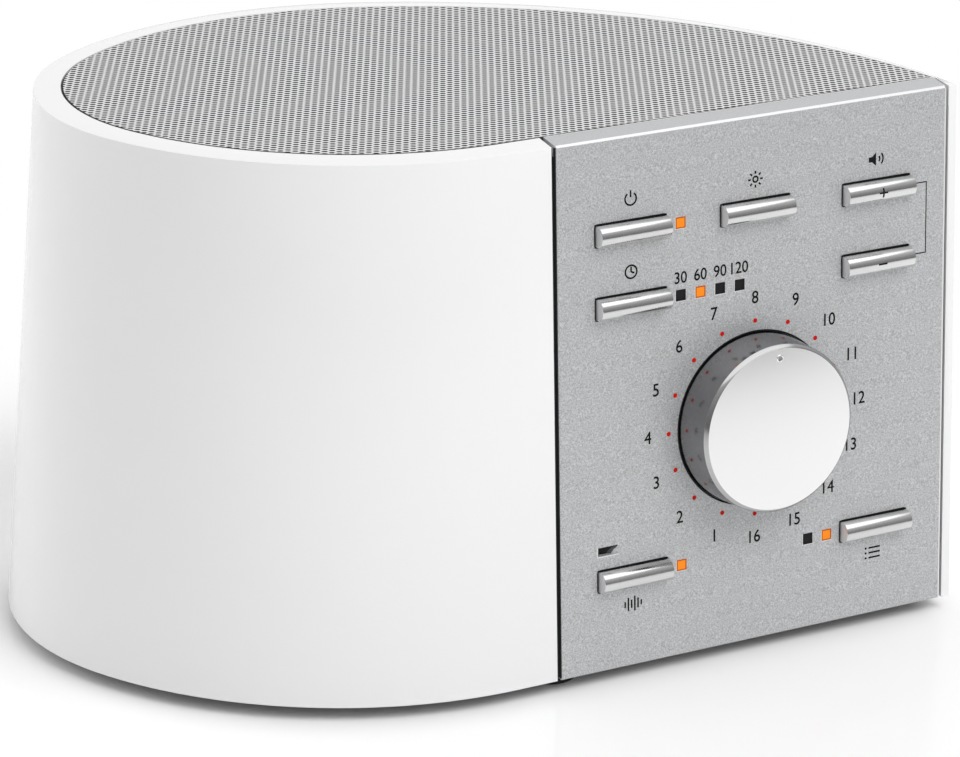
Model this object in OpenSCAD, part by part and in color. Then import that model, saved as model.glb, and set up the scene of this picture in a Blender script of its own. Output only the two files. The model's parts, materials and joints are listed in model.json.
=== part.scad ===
// Bedside sound machine: a teardrop shell with an upward speaker under a
// perforated grille, and a leaning control panel with a sound dial and seven
// bar buttons. All sizes are in millimetres. The plan is laid out from the
// panel's top left corner: x runs along the panel, y runs into the body.

/* [Panel] */
// Width of the control panel
panel_w = 103.1; // [100:0.1:112]
// Length of the control panel along its slope
panel_len = 123.9; // [120:0.1:135]
// Angle by which the panel and the shell walls lean
panel_lean = 3.75; // [2:0.05:5]
// Thickness of the panel plate
panel_wall = 2.4; // [2:0.1:3]
// Depth of the band that wraps over the top of the panel
band_depth = 5.5; // [5:0.1:7]
// Thickness of the band
band_wall = 1.6; // [1.2:0.1:2]
// Bevel along the panel's edges
panel_bevel = 0.4; // [0.2:0.1:0.6]
// Dark gap between the shell and the panel's left edge
seam_gap = 1; // [0.6:0.1:1.4]
// Dark gap between the panel's right edge and the shell
edge_gap = 0.8; // [0.6:0.1:1.2]

/* [Shell outline] */
// Distance from the panel's left edge to where the flat front ends
flat_front = 11.3; // [8:0.1:14]
// Radius of the front left arc
front_arc_r = 79; // [76:0.5:82]
// Direction in degrees where the front left arc ends
front_arc_end = 203.7; // [200:0.1:208]
// Radius of the left arc
side_arc_r = 52.8; // [51:0.1:56]
// Direction in degrees where the left arc ends
side_arc_end = 125; // [120:0.5:130]
// Radius of the back arc
back_arc_r = 87; // [85:0.5:89]
// Direction in degrees where the back arc ends
back_arc_end = 69.5; // [66:0.5:73]

/* [Shell] */
// Thickness of the shell wall
shell_wall = 2.2; // [1.8:0.1:2.6]
// Thickness of the shell's roof around the grille
roof_wall = 4; // [3.6:0.1:5]
// Width of the white rim around the grille
rim_w = 6.1; // [5.5:0.1:7]
// Height by which the rim rises towards the grille
rim_rise = 0.7; // [0.4:0.1:1]
// Radius of the screw pillars at their lower part
pillar_r = 3.5; // [3.2:0.1:4]
// Radius of the screw pillars above the baffle
pillar_top_r = 5; // [4.6:0.1:5.4]
// Distance of the pillars' axes from the shell's top edge
pillar_inset = 9.5; // [9.2:0.1:10]

/* [Grille] */
// Thickness of the grille plate
grille_t = 1; // [0.8:0.1:1.2]
// Depth of the grille's top face below the rim
grille_sink = 0.1; // [0:0.05:0.2]
// Width of the ledge that carries the grille
ledge_w = 3; // [2.6:0.1:3.4]
// Thickness of the dust scrim under the grille
scrim_t = 0.3; // [0.2:0.1:0.4]

/* [Base] */
// Height of the shell's lower edge above the table
foot_gap = 3.4; // [3:0.1:4]
// Height of the base plate's underside above the table
base_lift = 1; // [0.8:0.1:1.2]
// Thickness of the base plate
base_t = 2.6; // [2.4:0.1:3]
// Inset of the base plate from the shell's lower edge
base_inset = 3; // [2.9:0.1:3.6]
// Height of the base plate's rim above the table
base_rim_h = 8; // [7:0.1:8.5]
// Thickness of the base plate's rim
base_rim_t = 2; // [1.6:0.1:2.4]
// Radius of a rubber foot
foot_r = 7; // [6:0.1:8]
// Depth by which a foot sits in the base plate
foot_seat = 0.6; // [0.4:0.1:0.8]
// Distance of the feet's middles from the shell's top edge
foot_inset = 10.8; // [10.5:0.1:14]

/* [Dial] */
// Depth of the dial's centre below the panel's top edge
dial_v = 70.5; // [69:0.5:72]
// Radius of the dial knob at the panel
dial_base_r = 20.2; // [19.8:0.1:20.5]
// Radius of the dial knob at its front
dial_front_r = 19.7; // [19.2:0.1:19.8]
// Distance by which the dial knob stands out of the panel
dial_h = 10.8; // [10:0.1:12]
// Bevel around the front of the dial knob
dial_bevel = 0.8; // [0.5:0.1:1]
// Wall of the dial knob
dial_wall = 1.6; // [1.2:0.1:2]
// Gap around the dial knob in its recess
dial_gap = 0.5; // [0.4:0.1:0.7]
// Depth of the panel's recess around the dial
dial_recess = 1.2; // [1:0.1:1.4]
// Radius of the encoder's shaft
shaft_r = 3; // [2.8:0.1:3.2]
// Running clearance around the shaft
shaft_gap = 0.05; // [0.02:0.01:0.1]

/* [Buttons] */
// Length of a bar button
button_w = 18.2; // [17.5:0.1:19]
// Height of a bar button
button_h = 4.9; // [4.6:0.1:5.1]
// Distance by which a button stands out of the panel
button_out = 3.2; // [2.8:0.1:3.6]
// Gap around a button in its slot
button_gap = 0.25; // [0.2:0.05:0.3]
// Travel of a button
button_travel = 0.8; // [0.5:0.05:0.9]
// Distance from the panel's middle to the outer button columns
column_offset = 32.6; // [31:0.1:33.5]
// Depth of the first button row below the panel's top edge
row_power = 21.75; // [21:0.25:23]
// Depth of the second button row below the panel's top edge
row_timer = 38.5; // [37.5:0.25:39]
// Height of the last button row above the panel's lower edge
row_select_up = 21.6; // [21:0.1:22.4]

/* [Indicators] */
// Side of a square indicator lens
lens_side = 2.4; // [2.2:0.1:2.6]
// Distance from a button column's middle to its first lens
lens_offset = 12.9; // [12.5:0.1:13.2]
// Distance between neighbouring lenses
lens_pitch = 5.18; // [5:0.01:5.4]
// Length of the microphone slot
mic_slot_w = 5.4; // [5:0.1:5.8]
// Height of the microphone slot
mic_slot_h = 2.1; // [1.9:0.1:2.3]
// Distance from the panel's left edge to the microphone slot
mic_slot_u = 9.8; // [9.4:0.1:10.4]
// Height of the microphone slot above the panel's lower edge
mic_slot_up = 28.6; // [28.4:0.1:28.9]

/* [Circuit boards] */
// Distance from the panel's front face to the control board
board_y = 12; // [11.5:0.1:13]
// Thickness of a circuit board
board_t = 1.6; // [1.2:0.1:2]
// Margin between the control board and the panel's side edges
board_margin = 4; // [3.5:0.1:5]
// Margin between the control board and the panel's top edge
board_top = 6; // [5.5:0.1:7]
// Margin between the control board and the panel's lower edge
board_bottom = 9.9; // [9.6:0.1:12]
// Height of the main board above the base plate
main_lift = 6.4; // [6:0.1:8]
// Length of the main board
main_w = 64; // [60:1:68]
// Depth of the main board
main_d = 54; // [50:1:58]

/* [Speaker] */
// Distance from the panel's left edge to the speaker's middle, to the left
speaker_left = 27; // [25:0.5:29]
// Depth of the speaker's middle behind the panel's top edge
speaker_y = 64; // [62:0.5:66]
// Radius of the speaker's mounting flange
speaker_r = 40; // [38:0.5:41]
// Radius of the speaker cone at its rim
cone_r = 27; // [26:0.5:28]
// Radius of the voice coil
coil_r = 10.5; // [10:0.1:11.5]
// Height of the speaker frame
frame_h = 20; // [18:0.5:24]
// Radius of the magnet
magnet_r = 24; // [22:0.5:26]
// Height of the magnet
magnet_h = 9; // [8:0.5:12]
// Travel of the speaker cone each way
cone_travel = 1.2; // [0.8:0.1:1.5]
// Depth of the baffle below the shell's top edge
baffle_drop = 10; // [9:0.5:12]
// Thickness of the baffle
baffle_t = 2.5; // [2:0.1:3]

/* [Sockets] */
// Radius of the headphone socket's bore
audio_bore_r = 1.8; // [1.75:0.01:1.85]
// Radius of the power socket's bore
power_bore_r = 3.15; // [3:0.05:3.3]
// Distance of each socket from the middle of the socket plate
socket_offset = 8; // [7:0.1:9]
// Height of the sockets' axes above the main board
socket_h = 6.5; // [6:0.1:7]
// Half the width of the socket plate
plate_half_w = 15.8; // [15:0.1:17]
// Half the height of the socket plate
plate_half_h = 7.8; // [7:0.1:8]

/* [Hidden] */
$fn = 64;

white = "white";
silver = [0.75, 0.76, 0.77];
dark = [0.12, 0.12, 0.13];
steel = [0.6, 0.62, 0.64];
board_green = [0.1, 0.35, 0.2];

big = 400;                  // reach of cutting shapes
skin = 0.01;                // overlap of a cut with the face it opens
slack = 0.15;               // clearance between fitted pieces
arc_step = 3;               // degrees between points of the shell outline

tan_lean = tan(panel_lean);
body_h = panel_len * cos(panel_lean);
top_z = foot_gap + body_h;
panel_mid = panel_w / 2;

// ---- plan outline: four tangent arcs and the flat front ----
function dir(a) = [cos(a), sin(a)];
corner_x = panel_w + edge_gap + shell_wall;
front_centre = [-flat_front, front_arc_r];
side_centre = front_centre + (front_arc_r - side_arc_r) * dir(front_arc_end);
back_centre = side_centre + (side_arc_r - back_arc_r) * dir(side_arc_end);

// The right arc leaves the back arc at its end and meets the corner k.
// The outline is grown outwards by g.
function right_r(g, k) =
    let (v = k - back_centre, rb = back_arc_r + g, n = dir(back_arc_end))
    rb + (v * v - rb * rb) / (2 * (rb - v * n));
function right_centre(g, k) =
    back_centre - (right_r(g, k) - back_arc_r - g) * dir(back_arc_end);
function arc_points(c, r, a0, a1, count) =
    [for (i = [0:count]) c + r * dir(a0 + (a1 - a0) * i / count)];
function steps(sweep) = ceil(abs(sweep) / arc_step);
right_steps = steps(back_arc_end);

function raw_outline(g, k) =
    let (c = right_centre(g, k), r = right_r(g, k), end = asin((k.y - c.y) / r))
    concat(
        arc_points(front_centre, front_arc_r + g, 270, front_arc_end,
                   steps(270 - front_arc_end)),
        [for (i = [1:steps(front_arc_end - side_arc_end)])
            side_centre + (side_arc_r + g) * dir(front_arc_end
                + (side_arc_end - front_arc_end) * i / steps(front_arc_end - side_arc_end))],
        [for (i = [1:steps(side_arc_end - back_arc_end)])
            back_centre + (back_arc_r + g) * dir(side_arc_end
                + (back_arc_end - side_arc_end) * i / steps(side_arc_end - back_arc_end))],
        [for (i = [1:right_steps])
            c + r * dir(back_arc_end + (end - back_arc_end) * i / right_steps)]
    );
function outline(g, k, shift = [0, 0]) = [for (p = raw_outline(g, k - shift)) p + shift];

// Outer wall at a height above the table, moved in by an inset
function growth(z) = (top_z - z) * tan_lean;
function wall_outline(z, inset = 0) =
    outline(growth(z) - inset, [corner_x - inset, inset - growth(z)]);

// Grille outline, moved in by an inset
grille_shift = [0, band_depth - rim_w];
function grille_outline(inset = 0) =
    outline(-rim_w - inset, [panel_w - inset, band_depth + inset], grille_shift);

// Solid through rings of points, listed from the lowest to the highest
module loft(rings, heights) {
    n = len(rings[0]);
    last = len(rings) - 1;
    points = [for (i = [0:last]) for (p = rings[i]) [p.x, p.y, heights[i]]];
    sides = [for (i = [0:last - 1]) for (j = [0:n - 1])
        let (a = i * n + j, b = i * n + (j + 1) % n)
        each [[a, b, b + n], [a, b + n, a + n]]];
    bottom = [for (j = [0:n - 1]) n - 1 - j];
    top = [for (j = [0:n - 1]) last * n + j];
    polyhedron(points, concat([bottom], sides, [top]), convexity = 6);
}

module slab(points, z0, z1) {
    translate([0, 0, z0]) linear_extrude(z1 - z0) polygon(points);
}

// ---- frames ----
dial_reach = (dial_v + dial_front_r - dial_bevel) * sin(panel_lean)
    + dial_h * cos(panel_lean);
low_x = side_centre.x - side_arc_r - growth(foot_gap);
low_corner = [corner_x, -growth(foot_gap)];
low_right_c = right_centre(growth(foot_gap), low_corner);
high_x = low_right_c.y > low_corner.y
    ? low_right_c.x + right_r(growth(foot_gap), low_corner) : corner_x;
high_y = back_centre.y + back_arc_r + growth(foot_gap);

// Plan frame with its origin moved to the middle of the whole object
module placed() {
    translate([-(low_x + high_x) / 2, -(high_y - dial_reach) / 2, 0]) children();
}

// Panel frame: x along the panel, y into the body, z up the slope from its top edge
module on_panel() {
    translate([0, 0, top_z]) rotate([-panel_lean, 0, 0]) children();
}

// Cylinder along the panel's normal between two depths, at u across and v down
module panel_rod(u, v, r, y0, y1) {
    translate([u, y0, -v]) rotate([-90, 0, 0]) cylinder(h = y1 - y0, r = r);
}

// Box between two depths, centred at u across and v down
module panel_box(u, v, w, h, y0, y1) {
    translate([u - w / 2, y0, -v - h / 2]) cube([w, y1 - y0, h]);
}

// ---- shared places ----
plate_x = back_centre.x;
top_right_r = right_r(0, [corner_x, 0]);
top_right_c = right_centre(0, [corner_x, 0]);
function on_side(inset, a) = side_centre + (side_arc_r - inset) * dir(a);
function on_front(inset, a) = front_centre + (front_arc_r - inset) * dir(a);
function on_back(inset, a) = back_centre + (back_arc_r - inset) * dir(a);
function on_right(inset, a) = top_right_c + (top_right_r - inset) * dir(a);
pillars = [
    on_side(pillar_inset, 149), on_front(pillar_inset, 222), on_front(pillar_inset, 270),
    on_right(pillar_inset, 58.5), on_right(pillar_inset, 19.2)
];
baffle_pillars = [0, 1, 2, 3];
feet = [
    on_side(foot_inset, 188.6), on_back(foot_inset, 108.8), on_right(foot_inset, 46.2),
    on_right(foot_inset, 12.5), [3, 4]
];
panel_pillars = [16, panel_mid - 5.5, panel_w - 19];
panel_pillar_y = 8;
panel_pillar_h = 8.4;
row_select = panel_len - row_select_up;
mic_slot_v = panel_len - mic_slot_up;
board_h = panel_len - board_top - board_bottom;
board_pillar_in = 5;
board_pillar_spread = 15.6;
board_pillars = [
    for (side = [-1, 1]) each [
        [panel_mid + side * board_pillar_spread, board_top + board_pillar_in],
        [panel_mid + side * (panel_mid - board_margin - board_pillar_in), board_top + board_h / 2],
        [panel_mid + side * board_pillar_spread, board_top + board_h - board_pillar_in]
    ]
];
base_top = base_lift + base_t;
pillar_foot = base_top;
pilot_depth = 14;
screw_r = 1.2;
screw_pilot = 1.25;
screw_head_r = 2.8;
screw_head_t = 1.4;
screw_len = 8;

// ---- casing ----
front_cut_y = panel_wall + 0.2;
flange_w = 2.2;
flange_depth = 8;
grille_z1 = top_z + rim_rise - grille_sink;
grille_z0 = grille_z1 - grille_t;
baffle_z1 = top_z - baffle_drop;
baffle_z0 = baffle_z1 - baffle_t;
plate_z = base_top + main_lift + board_t + socket_h;
plate_front_y = high_y - 2.6;
plate_body_t = 3.2;

module outer_shell() {
    color(white) placed() difference() {
        union() {
            difference() {
                loft([wall_outline(foot_gap), wall_outline(top_z), grille_outline()],
                     [foot_gap, top_z, top_z + rim_rise]);
                loft([wall_outline(foot_gap - 1, shell_wall),
                      wall_outline(top_z - roof_wall, shell_wall)],
                     [foot_gap - 1, top_z - roof_wall]);
                slab(grille_outline(ledge_w), top_z - roof_wall - 1, top_z + 2);
            }
            seam_flange();
            for (p = pillars) pillar(p);
        }
        slab(grille_outline(-slack), grille_z0, top_z + 2);
        panel_cut();
        for (p = pillars) {
            translate([p.x, p.y, pillar_foot - 1]) cylinder(h = pilot_depth, r = screw_pilot);
        }
        socket_plate_hole();
    }
}

// Return wall beside the seam, behind the shell's cut edge
module seam_flange() {
    on_panel() translate([-seam_gap - flange_w, 1, -panel_len + 10])
        cube([flange_w, flange_depth - 1, panel_len - 12]);
}

// Screw pillar that hangs from the roof; its step carries the baffle
module pillar(p) {
    translate([p.x, p.y, pillar_foot]) cylinder(h = top_z - 2 - pillar_foot, r = pillar_r);
    translate([p.x, p.y, baffle_z1]) cylinder(h = grille_z0 - 0.6 - baffle_z1, r = pillar_top_r);
}

// Room for the front panel and its band
module panel_cut() {
    width = seam_gap + panel_w + edge_gap;
    on_panel() translate([-seam_gap, -big / 2, -panel_len - 5])
        cube([width, big / 2 + front_cut_y, panel_len + 10]);
    translate([-seam_gap, -1, top_z - band_wall - 0.2])
        cube([width, band_depth + 1, band_wall + 5]);
}

module socket_plate_hole() {
    translate([plate_x - plate_half_w - 0.2, plate_front_y - 10, plate_z - plate_half_h - 0.2])
        cube([2 * plate_half_w + 0.4, big, 2 * plate_half_h + 0.4]);
}

module front_panel() {
    depth_x = panel_wall / cos(panel_lean);
    color(silver) placed() difference() {
        union() {
            panel_body(depth_x);
            on_panel() for (p = board_pillars) {
                panel_rod(p.x, p.y, 3, panel_wall - skin, board_y);
            }
            for (x = panel_pillars) panel_pillar(x);
        }
        on_panel() panel_holes();
        for (x = panel_pillars) {
            translate([x, panel_pillar_y, base_top - 1]) cylinder(h = panel_pillar_h - 0.4, r = screw_pilot);
        }
        panel_bevels();
    }
}

// Side view of the plate and its band, stretched along the panel
module panel_body(depth_x) {
    foot_y = -growth(foot_gap);
    bevel = panel_bevel;
    rotate([90, 0, 90]) linear_extrude(panel_w) polygon([
        [bevel, top_z + bevel * rim_rise / band_depth],
        [band_depth - slack, top_z + rim_rise],
        [band_depth - slack, top_z - band_wall],
        [depth_x - band_wall * tan_lean, top_z - band_wall],
        [foot_y + depth_x, foot_gap],
        [foot_y + bevel / 2, foot_gap],
        [foot_y + bevel / 2 * tan_lean, foot_gap + bevel / 2],
        [-bevel * tan_lean, top_z - bevel]
    ]);
}

// Long bevels down both side edges of the face
module panel_bevels() {
    on_panel() for (u = [0, panel_w]) {
        translate([u, 0, -panel_len / 2]) rotate([0, 0, 45])
            cube([panel_bevel, panel_bevel, panel_len + 10], center = true);
    }
}

// Upright pillar behind the panel's foot for a base screw
module panel_pillar(x) {
    rib_y = -growth(foot_gap) + panel_wall;
    translate([x, panel_pillar_y, base_top]) cylinder(h = panel_pillar_h, r = pillar_r);
    translate([x - 1, rib_y - 0.4, base_rim_h + 0.6])
        cube([2, panel_pillar_y - rib_y, base_top + panel_pillar_h - base_rim_h - 0.6]);
}

module panel_holes() {
    panel_rod(panel_mid, dial_v, dial_base_r + dial_gap, -1, dial_recess);
    panel_rod(panel_mid, dial_v, bushing_r + slack, 0, panel_wall + 1);
    for (b = buttons) {
        panel_box(b.x, b.y, button_w + 2 * button_gap, button_h + 2 * button_gap, -1, panel_wall + 1);
    }
    for (p = concat(lit_lenses, unlit_lenses)) {
        panel_box(p.x, p.y, lens_side, lens_side, -1, panel_wall + 1);
    }
    mic_slot();
    for (p = board_pillars) panel_rod(p.x, p.y, screw_pilot, panel_wall + 1, board_y + 1);
}

// Slot whose floor slopes up to the right, with the sound hole at its deep end
module mic_slot() {
    translate([mic_slot_u, 0, -mic_slot_v - mic_slot_h / 2]) linear_extrude(mic_slot_h)
        polygon([[0, -1], [mic_slot_w, -1], [mic_slot_w, 0], [2.2, 1.5], [0, 1.5]]);
    panel_rod(mic_u, mic_slot_v, 0.6, 0, panel_wall + 1);
}

// Black strips in the gaps beside the panel
module seam_gasket() {
    color(dark) placed() on_panel() {
        for (strip = [[-seam_gap, seam_gap], [panel_w, edge_gap]]) {
            translate([strip[0], 1, -panel_len + 0.5])
                cube([strip[1], panel_wall - 1.4, panel_len - 3]);
        }
    }
}

module speaker_grille() {
    color(steel) placed() slab(grille_outline(), grille_z0, grille_z1);
}

module grille_scrim() {
    color(dark) placed() slab(grille_outline(ledge_w + 0.2), grille_z0 - scrim_t, grille_z0);
}

// ---- speaker ----
speaker_pos = [-speaker_left, speaker_y];
opening_r = speaker_r - 5.5;
gasket_t = 1;
flange_t = 1;
flange_z1 = baffle_z0 - gasket_t;
flange_z0 = flange_z1 - flange_t;
frame_z0 = flange_z0 - frame_h;
speaker_screw_r = speaker_r - 2.8;
ring_gap = 0.3;
baffle_ring_r = speaker_r + 4;

module at_speaker(z = 0) {
    translate([speaker_pos.x, speaker_pos.y, z]) children();
}

module tube(r, hole, h) {
    difference() {
        cylinder(h = h, r = r);
        translate([0, 0, -1]) cylinder(h = h + 2, r = hole);
    }
}

module at_speaker_screws() {
    for (a = [45:90:315]) rotate(a) translate([speaker_screw_r, 0, 0]) children();
}

module speaker_baffle() {
    color(dark) placed() translate([0, 0, baffle_z0]) linear_extrude(baffle_t) difference() {
        union() {
            translate(speaker_pos) circle(r = baffle_ring_r);
            for (i = baffle_pillars) baffle_arm(pillars[i]);
        }
        translate(speaker_pos) {
            circle(r = opening_r);
            at_speaker_screws() circle(r = screw_pilot);
        }
        for (i = baffle_pillars) translate(pillars[i]) circle(r = pillar_r + slack);
    }
}

// Arm from the baffle's ring to a pillar
module baffle_arm(p) {
    d = p - speaker_pos;
    inner = opening_r + 2;
    half_w = 5;
    translate(p) circle(r = half_w + 1);
    translate(speaker_pos) rotate(atan2(d.y, d.x)) translate([inner, -half_w])
        square([norm(d) - inner, 2 * half_w]);
}

// Spring washers that hold the baffle up against the pillars' steps
module baffle_push_nuts() {
    color(steel) placed() for (i = baffle_pillars) {
        translate([pillars[i].x, pillars[i].y, baffle_z0 - 0.6]) tube(pillar_r + 2.2, pillar_r, 0.6);
    }
}

module speaker_gasket() {
    color(dark) placed() at_speaker(flange_z1) difference() {
        tube(speaker_r, opening_r, gasket_t);
        translate([0, 0, -1]) at_speaker_screws() cylinder(h = gasket_t + 2, r = screw_pilot + slack);
    }
}

basket_r = magnet_r - 3;
spider_z = frame_z0 + 6;
spider_r = basket_r + 3;
// Pressed steel frame: flange, sloping side with four windows, and a stepped cup
module speaker_basket() {
    color(steel) placed() at_speaker() difference() {
        rotate_extrude() polygon([
            [speaker_r, flange_z1], [speaker_r, flange_z0], [opening_r, flange_z0],
            [spider_r + 1, spider_z - 0.8], [basket_r, spider_z - 0.8], [basket_r, frame_z0],
            [coil_r + 3, frame_z0], [coil_r + 3, frame_z0 + 1], [basket_r - 0.8, frame_z0 + 1],
            [basket_r - 0.8, spider_z], [spider_r + 0.4, spider_z],
            [opening_r - 1, flange_z0 + 0.2], [opening_r - 1, flange_z1]
        ]);
        for (a = [0:90:270]) rotate(a) {
            translate([basket_r, -9, spider_z + 2]) cube([speaker_r, 18, flange_z0 - 2 - spider_z - 2]);
        }
        translate([0, 0, flange_z0 - 1]) at_speaker_screws()
            cylinder(h = flange_t + 2, r = screw_pilot + slack);
    }
}

surround_out_r = opening_r - 1 - slack;
// Half-round rubber roll between the frame and the cone
module speaker_surround() {
    mid = (surround_out_r + cone_r + ring_gap) / 2;
    roll = (surround_out_r - cone_r - ring_gap) / 2;
    color(dark) placed() at_speaker(flange_z0 + 0.3) rotate_extrude() intersection() {
        translate([mid, 0]) difference() {
            circle(r = roll);
            circle(r = roll - 0.6);
        }
        translate([0, 0]) square([speaker_r, 20]);
    }
}

// Corrugated cloth ring that centres the coil; its flat rim rests on the frame's step
module speaker_spider() {
    low_r = coil_r + 1 + ring_gap;
    flat_r = basket_r - 0.5;
    folds = 6;
    pitch = (flat_r - low_r) / folds;
    under = [for (i = [0:folds]) [low_r + i * pitch, i % 2 == folds % 2 ? 0 : 0.9]];
    over = [for (i = [folds:-1:0]) under[i] + [0, 0.4]];
    color([0.75, 0.6, 0.3]) placed() at_speaker(spider_z) rotate_extrude()
        polygon(concat(under, [[spider_r, 0], [spider_r, 0.4]], over));
}

cone_top_z = flange_z0 + 0.3;
cone_low_z = spider_z + 1.4;
module speaker_cone() {
    color([0.2, 0.2, 0.21]) placed() at_speaker() rotate_extrude() polygon([
        [cone_r, cone_top_z], [cone_r, cone_top_z + 0.5], [coil_r, cone_low_z + 0.8],
        [coil_r, cone_low_z], [coil_r + 1, cone_low_z]
    ]);
}

dust_cap_h = 4;
// Domed cap that closes the middle of the cone
module dust_cap() {
    ball_r = (coil_r * coil_r + dust_cap_h * dust_cap_h) / (2 * dust_cap_h);
    cap_z = cone_low_z + 0.8;
    color([0.15, 0.15, 0.16]) placed() at_speaker(cap_z) rotate_extrude() intersection() {
        translate([0, dust_cap_h - ball_r]) difference() {
            circle(r = ball_r);
            circle(r = ball_r - 0.5);
        }
        square([coil_r, dust_cap_h + 1]);
    }
}

coil_depth = 8;
module voice_coil() {
    color([0.7, 0.4, 0.2]) placed() at_speaker(cone_low_z + 0.8 - coil_depth - 4)
        tube(coil_r, coil_r - 0.6, coil_depth + 4);
}

top_plate_t = 4;
magnet_z1 = frame_z0 - top_plate_t;
magnet_z0 = magnet_z1 - magnet_h;
yoke_t = 4;
module speaker_top_plate() {
    color(steel) placed() at_speaker(magnet_z1) tube(magnet_r - 2, coil_r + 0.5, top_plate_t);
}

module speaker_magnet() {
    color([0.25, 0.25, 0.26]) placed() at_speaker(magnet_z0) tube(magnet_r, coil_r + 2.5, magnet_h);
}

module speaker_yoke() {
    color(steel) placed() at_speaker(magnet_z0 - yoke_t) {
        cylinder(h = yoke_t, r = magnet_r - 2);
        cylinder(h = yoke_t + magnet_h + top_plate_t, r = coil_r - 1.1);
    }
}

terminal_r = speaker_r - 3;
terminal_t = 1.5;
terminal_h = 7;
// Solder board under the frame's flange
module speaker_terminal() {
    color([0.4, 0.25, 0.15]) placed() at_speaker(flange_z0 - terminal_h) rotate(90)
        translate([terminal_r - terminal_t, -4, 0]) cube([terminal_t, 8, terminal_h]);
}

module speaker_screws() {
    color(steel) placed() at_speaker() at_speaker_screws() {
        translate([0, 0, flange_z0 - 1.4]) cylinder(h = 1.4, r = 2.5);
        translate([0, 0, flange_z0]) cylinder(h = 4, r = screw_r);
    }
}

// ---- dial ----
bushing_r = 3.5;
nut_y = dial_recess - 2;
bushing_y = nut_y - 0.6;
core_r = 6.5;
core_y = bushing_y - 0.8;
face_t = 0.6;
face_r = dial_front_r - dial_bevel;
cavity_y = dial_wall - dial_h;
encoder_y = 5.6;
encoder_side = 13;
pointer_r = 16.7;
pointer_dot_r = 0.9;

module at_dial() {
    placed() on_panel() translate([panel_mid, 0, -dial_v]) rotate([-90, 0, 0]) children();
}

// Turned aluminium cap with a bevelled front
module dial_knob() {
    back_y = dial_recess / 2;
    inner_r = dial_front_r - dial_wall;
    color(silver) at_dial() rotate_extrude() polygon([
        [face_r, -dial_h], [dial_front_r, -dial_h + dial_bevel], [dial_base_r, back_y],
        [inner_r, back_y], [inner_r, cavity_y], [0, cavity_y], [0, -dial_h + face_t],
        [face_r - 0.6, -dial_h + face_t], [face_r - 0.6, -dial_h]
    ]);
}

// Thin face disc with a round pointer dimple
module dial_face() {
    color([0.9, 0.9, 0.9]) at_dial() difference() {
        translate([0, 0, -dial_h]) cylinder(h = face_t, r = face_r - 0.6);
        translate([0, -pointer_r, -dial_h - 0.6]) cylinder(h = 0.6 + face_t / 2, r = pointer_dot_r);
    }
}

// Moulded insert that grips the shaft
module dial_core() {
    color(dark) at_dial() difference() {
        union() {
            translate([0, 0, cavity_y]) cylinder(h = core_y - cavity_y, r = core_r);
            for (a = [0:60:300]) rotate(a) {
                translate([core_r - 0.5, -0.6, cavity_y])
                    cube([dial_front_r - dial_wall - core_r, 1.2, 5]);
            }
        }
        translate([0, 0, cavity_y - 1]) cylinder(h = big / 10, r = shaft_r);
    }
}

module encoder_shaft() {
    color(steel) at_dial() translate([0, 0, cavity_y]) cylinder(h = encoder_y + 2 - cavity_y, r = shaft_r);
}

module encoder_body() {
    bore_r = shaft_r + shaft_gap;
    color([0.35, 0.36, 0.38]) at_dial() difference() {
        union() {
            translate([-encoder_side / 2, -encoder_side / 2, encoder_y])
                cube([encoder_side, encoder_side, board_y - encoder_y]);
            translate([0, 0, panel_wall]) cylinder(h = encoder_y - panel_wall + skin, r = 5.5);
            translate([0, 0, bushing_y]) cylinder(h = encoder_y - bushing_y + skin, r = bushing_r);
        }
        translate([0, 0, bushing_y - 1]) cylinder(h = encoder_y + 2.4 - bushing_y + 1, r = bore_r);
    }
}

module encoder_nut() {
    color(steel) at_dial() difference() {
        translate([0, 0, nut_y]) cylinder(h = dial_recess - nut_y, r = 5.8, $fn = 6);
        translate([0, 0, nut_y - 1]) cylinder(h = dial_recess - nut_y + 2, r = bushing_r);
    }
}

// ---- buttons ----
left_u = panel_mid - column_offset;
right_u = panel_mid + column_offset;
buttons = [
    [left_u, row_power], [panel_mid, row_power], [right_u, row_power],
    [right_u, row_timer], [left_u, row_timer], [left_u, row_select],
    [right_u, row_select]
];
button_flange = 1.2;
button_flange_t = 1;
switch_y = board_y - 3.5;
plunger_y = switch_y - 1.5;
stem_end_y = switch_y - button_travel - slack;
stem_hole_y = plunger_y - button_travel - slack;

// Half-round bar with a retaining flange and a hollow stem
module bar_button(i) {
    u = buttons[i].x;
    v = buttons[i].y;
    round_r = button_h / 2;
    flange_y = panel_wall + slack;
    color(silver) placed() on_panel() difference() {
        union() {
            translate([u - button_w / 2, round_r - button_out, -v]) rotate([0, 90, 0])
                cylinder(h = button_w, r = round_r);
            panel_box(u, v, button_w, button_h, round_r - button_out, flange_y + skin);
            panel_box(u, v, button_w + 2 * button_flange, button_h + 2 * button_flange,
                      flange_y, flange_y + button_flange_t);
            panel_rod(u, v, 2.9, flange_y, stem_end_y);
        }
        panel_rod(u, v, 2.05, stem_hole_y, stem_end_y + 1);
    }
}

module power_button() { bar_button(0); }
module display_button() { bar_button(1); }
module volume_up_button() { bar_button(2); }
module volume_down_button() { bar_button(3); }
module timer_button() { bar_button(4); }
module adaptive_button() { bar_button(5); }
module selection_button() { bar_button(6); }

module tact_switches() {
    color(dark) placed() on_panel() for (b = buttons) {
        panel_box(b.x, b.y, 6, 6, switch_y, board_y);
        panel_rod(b.x, b.y, 1.75, plunger_y, switch_y + skin);
    }
}

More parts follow.
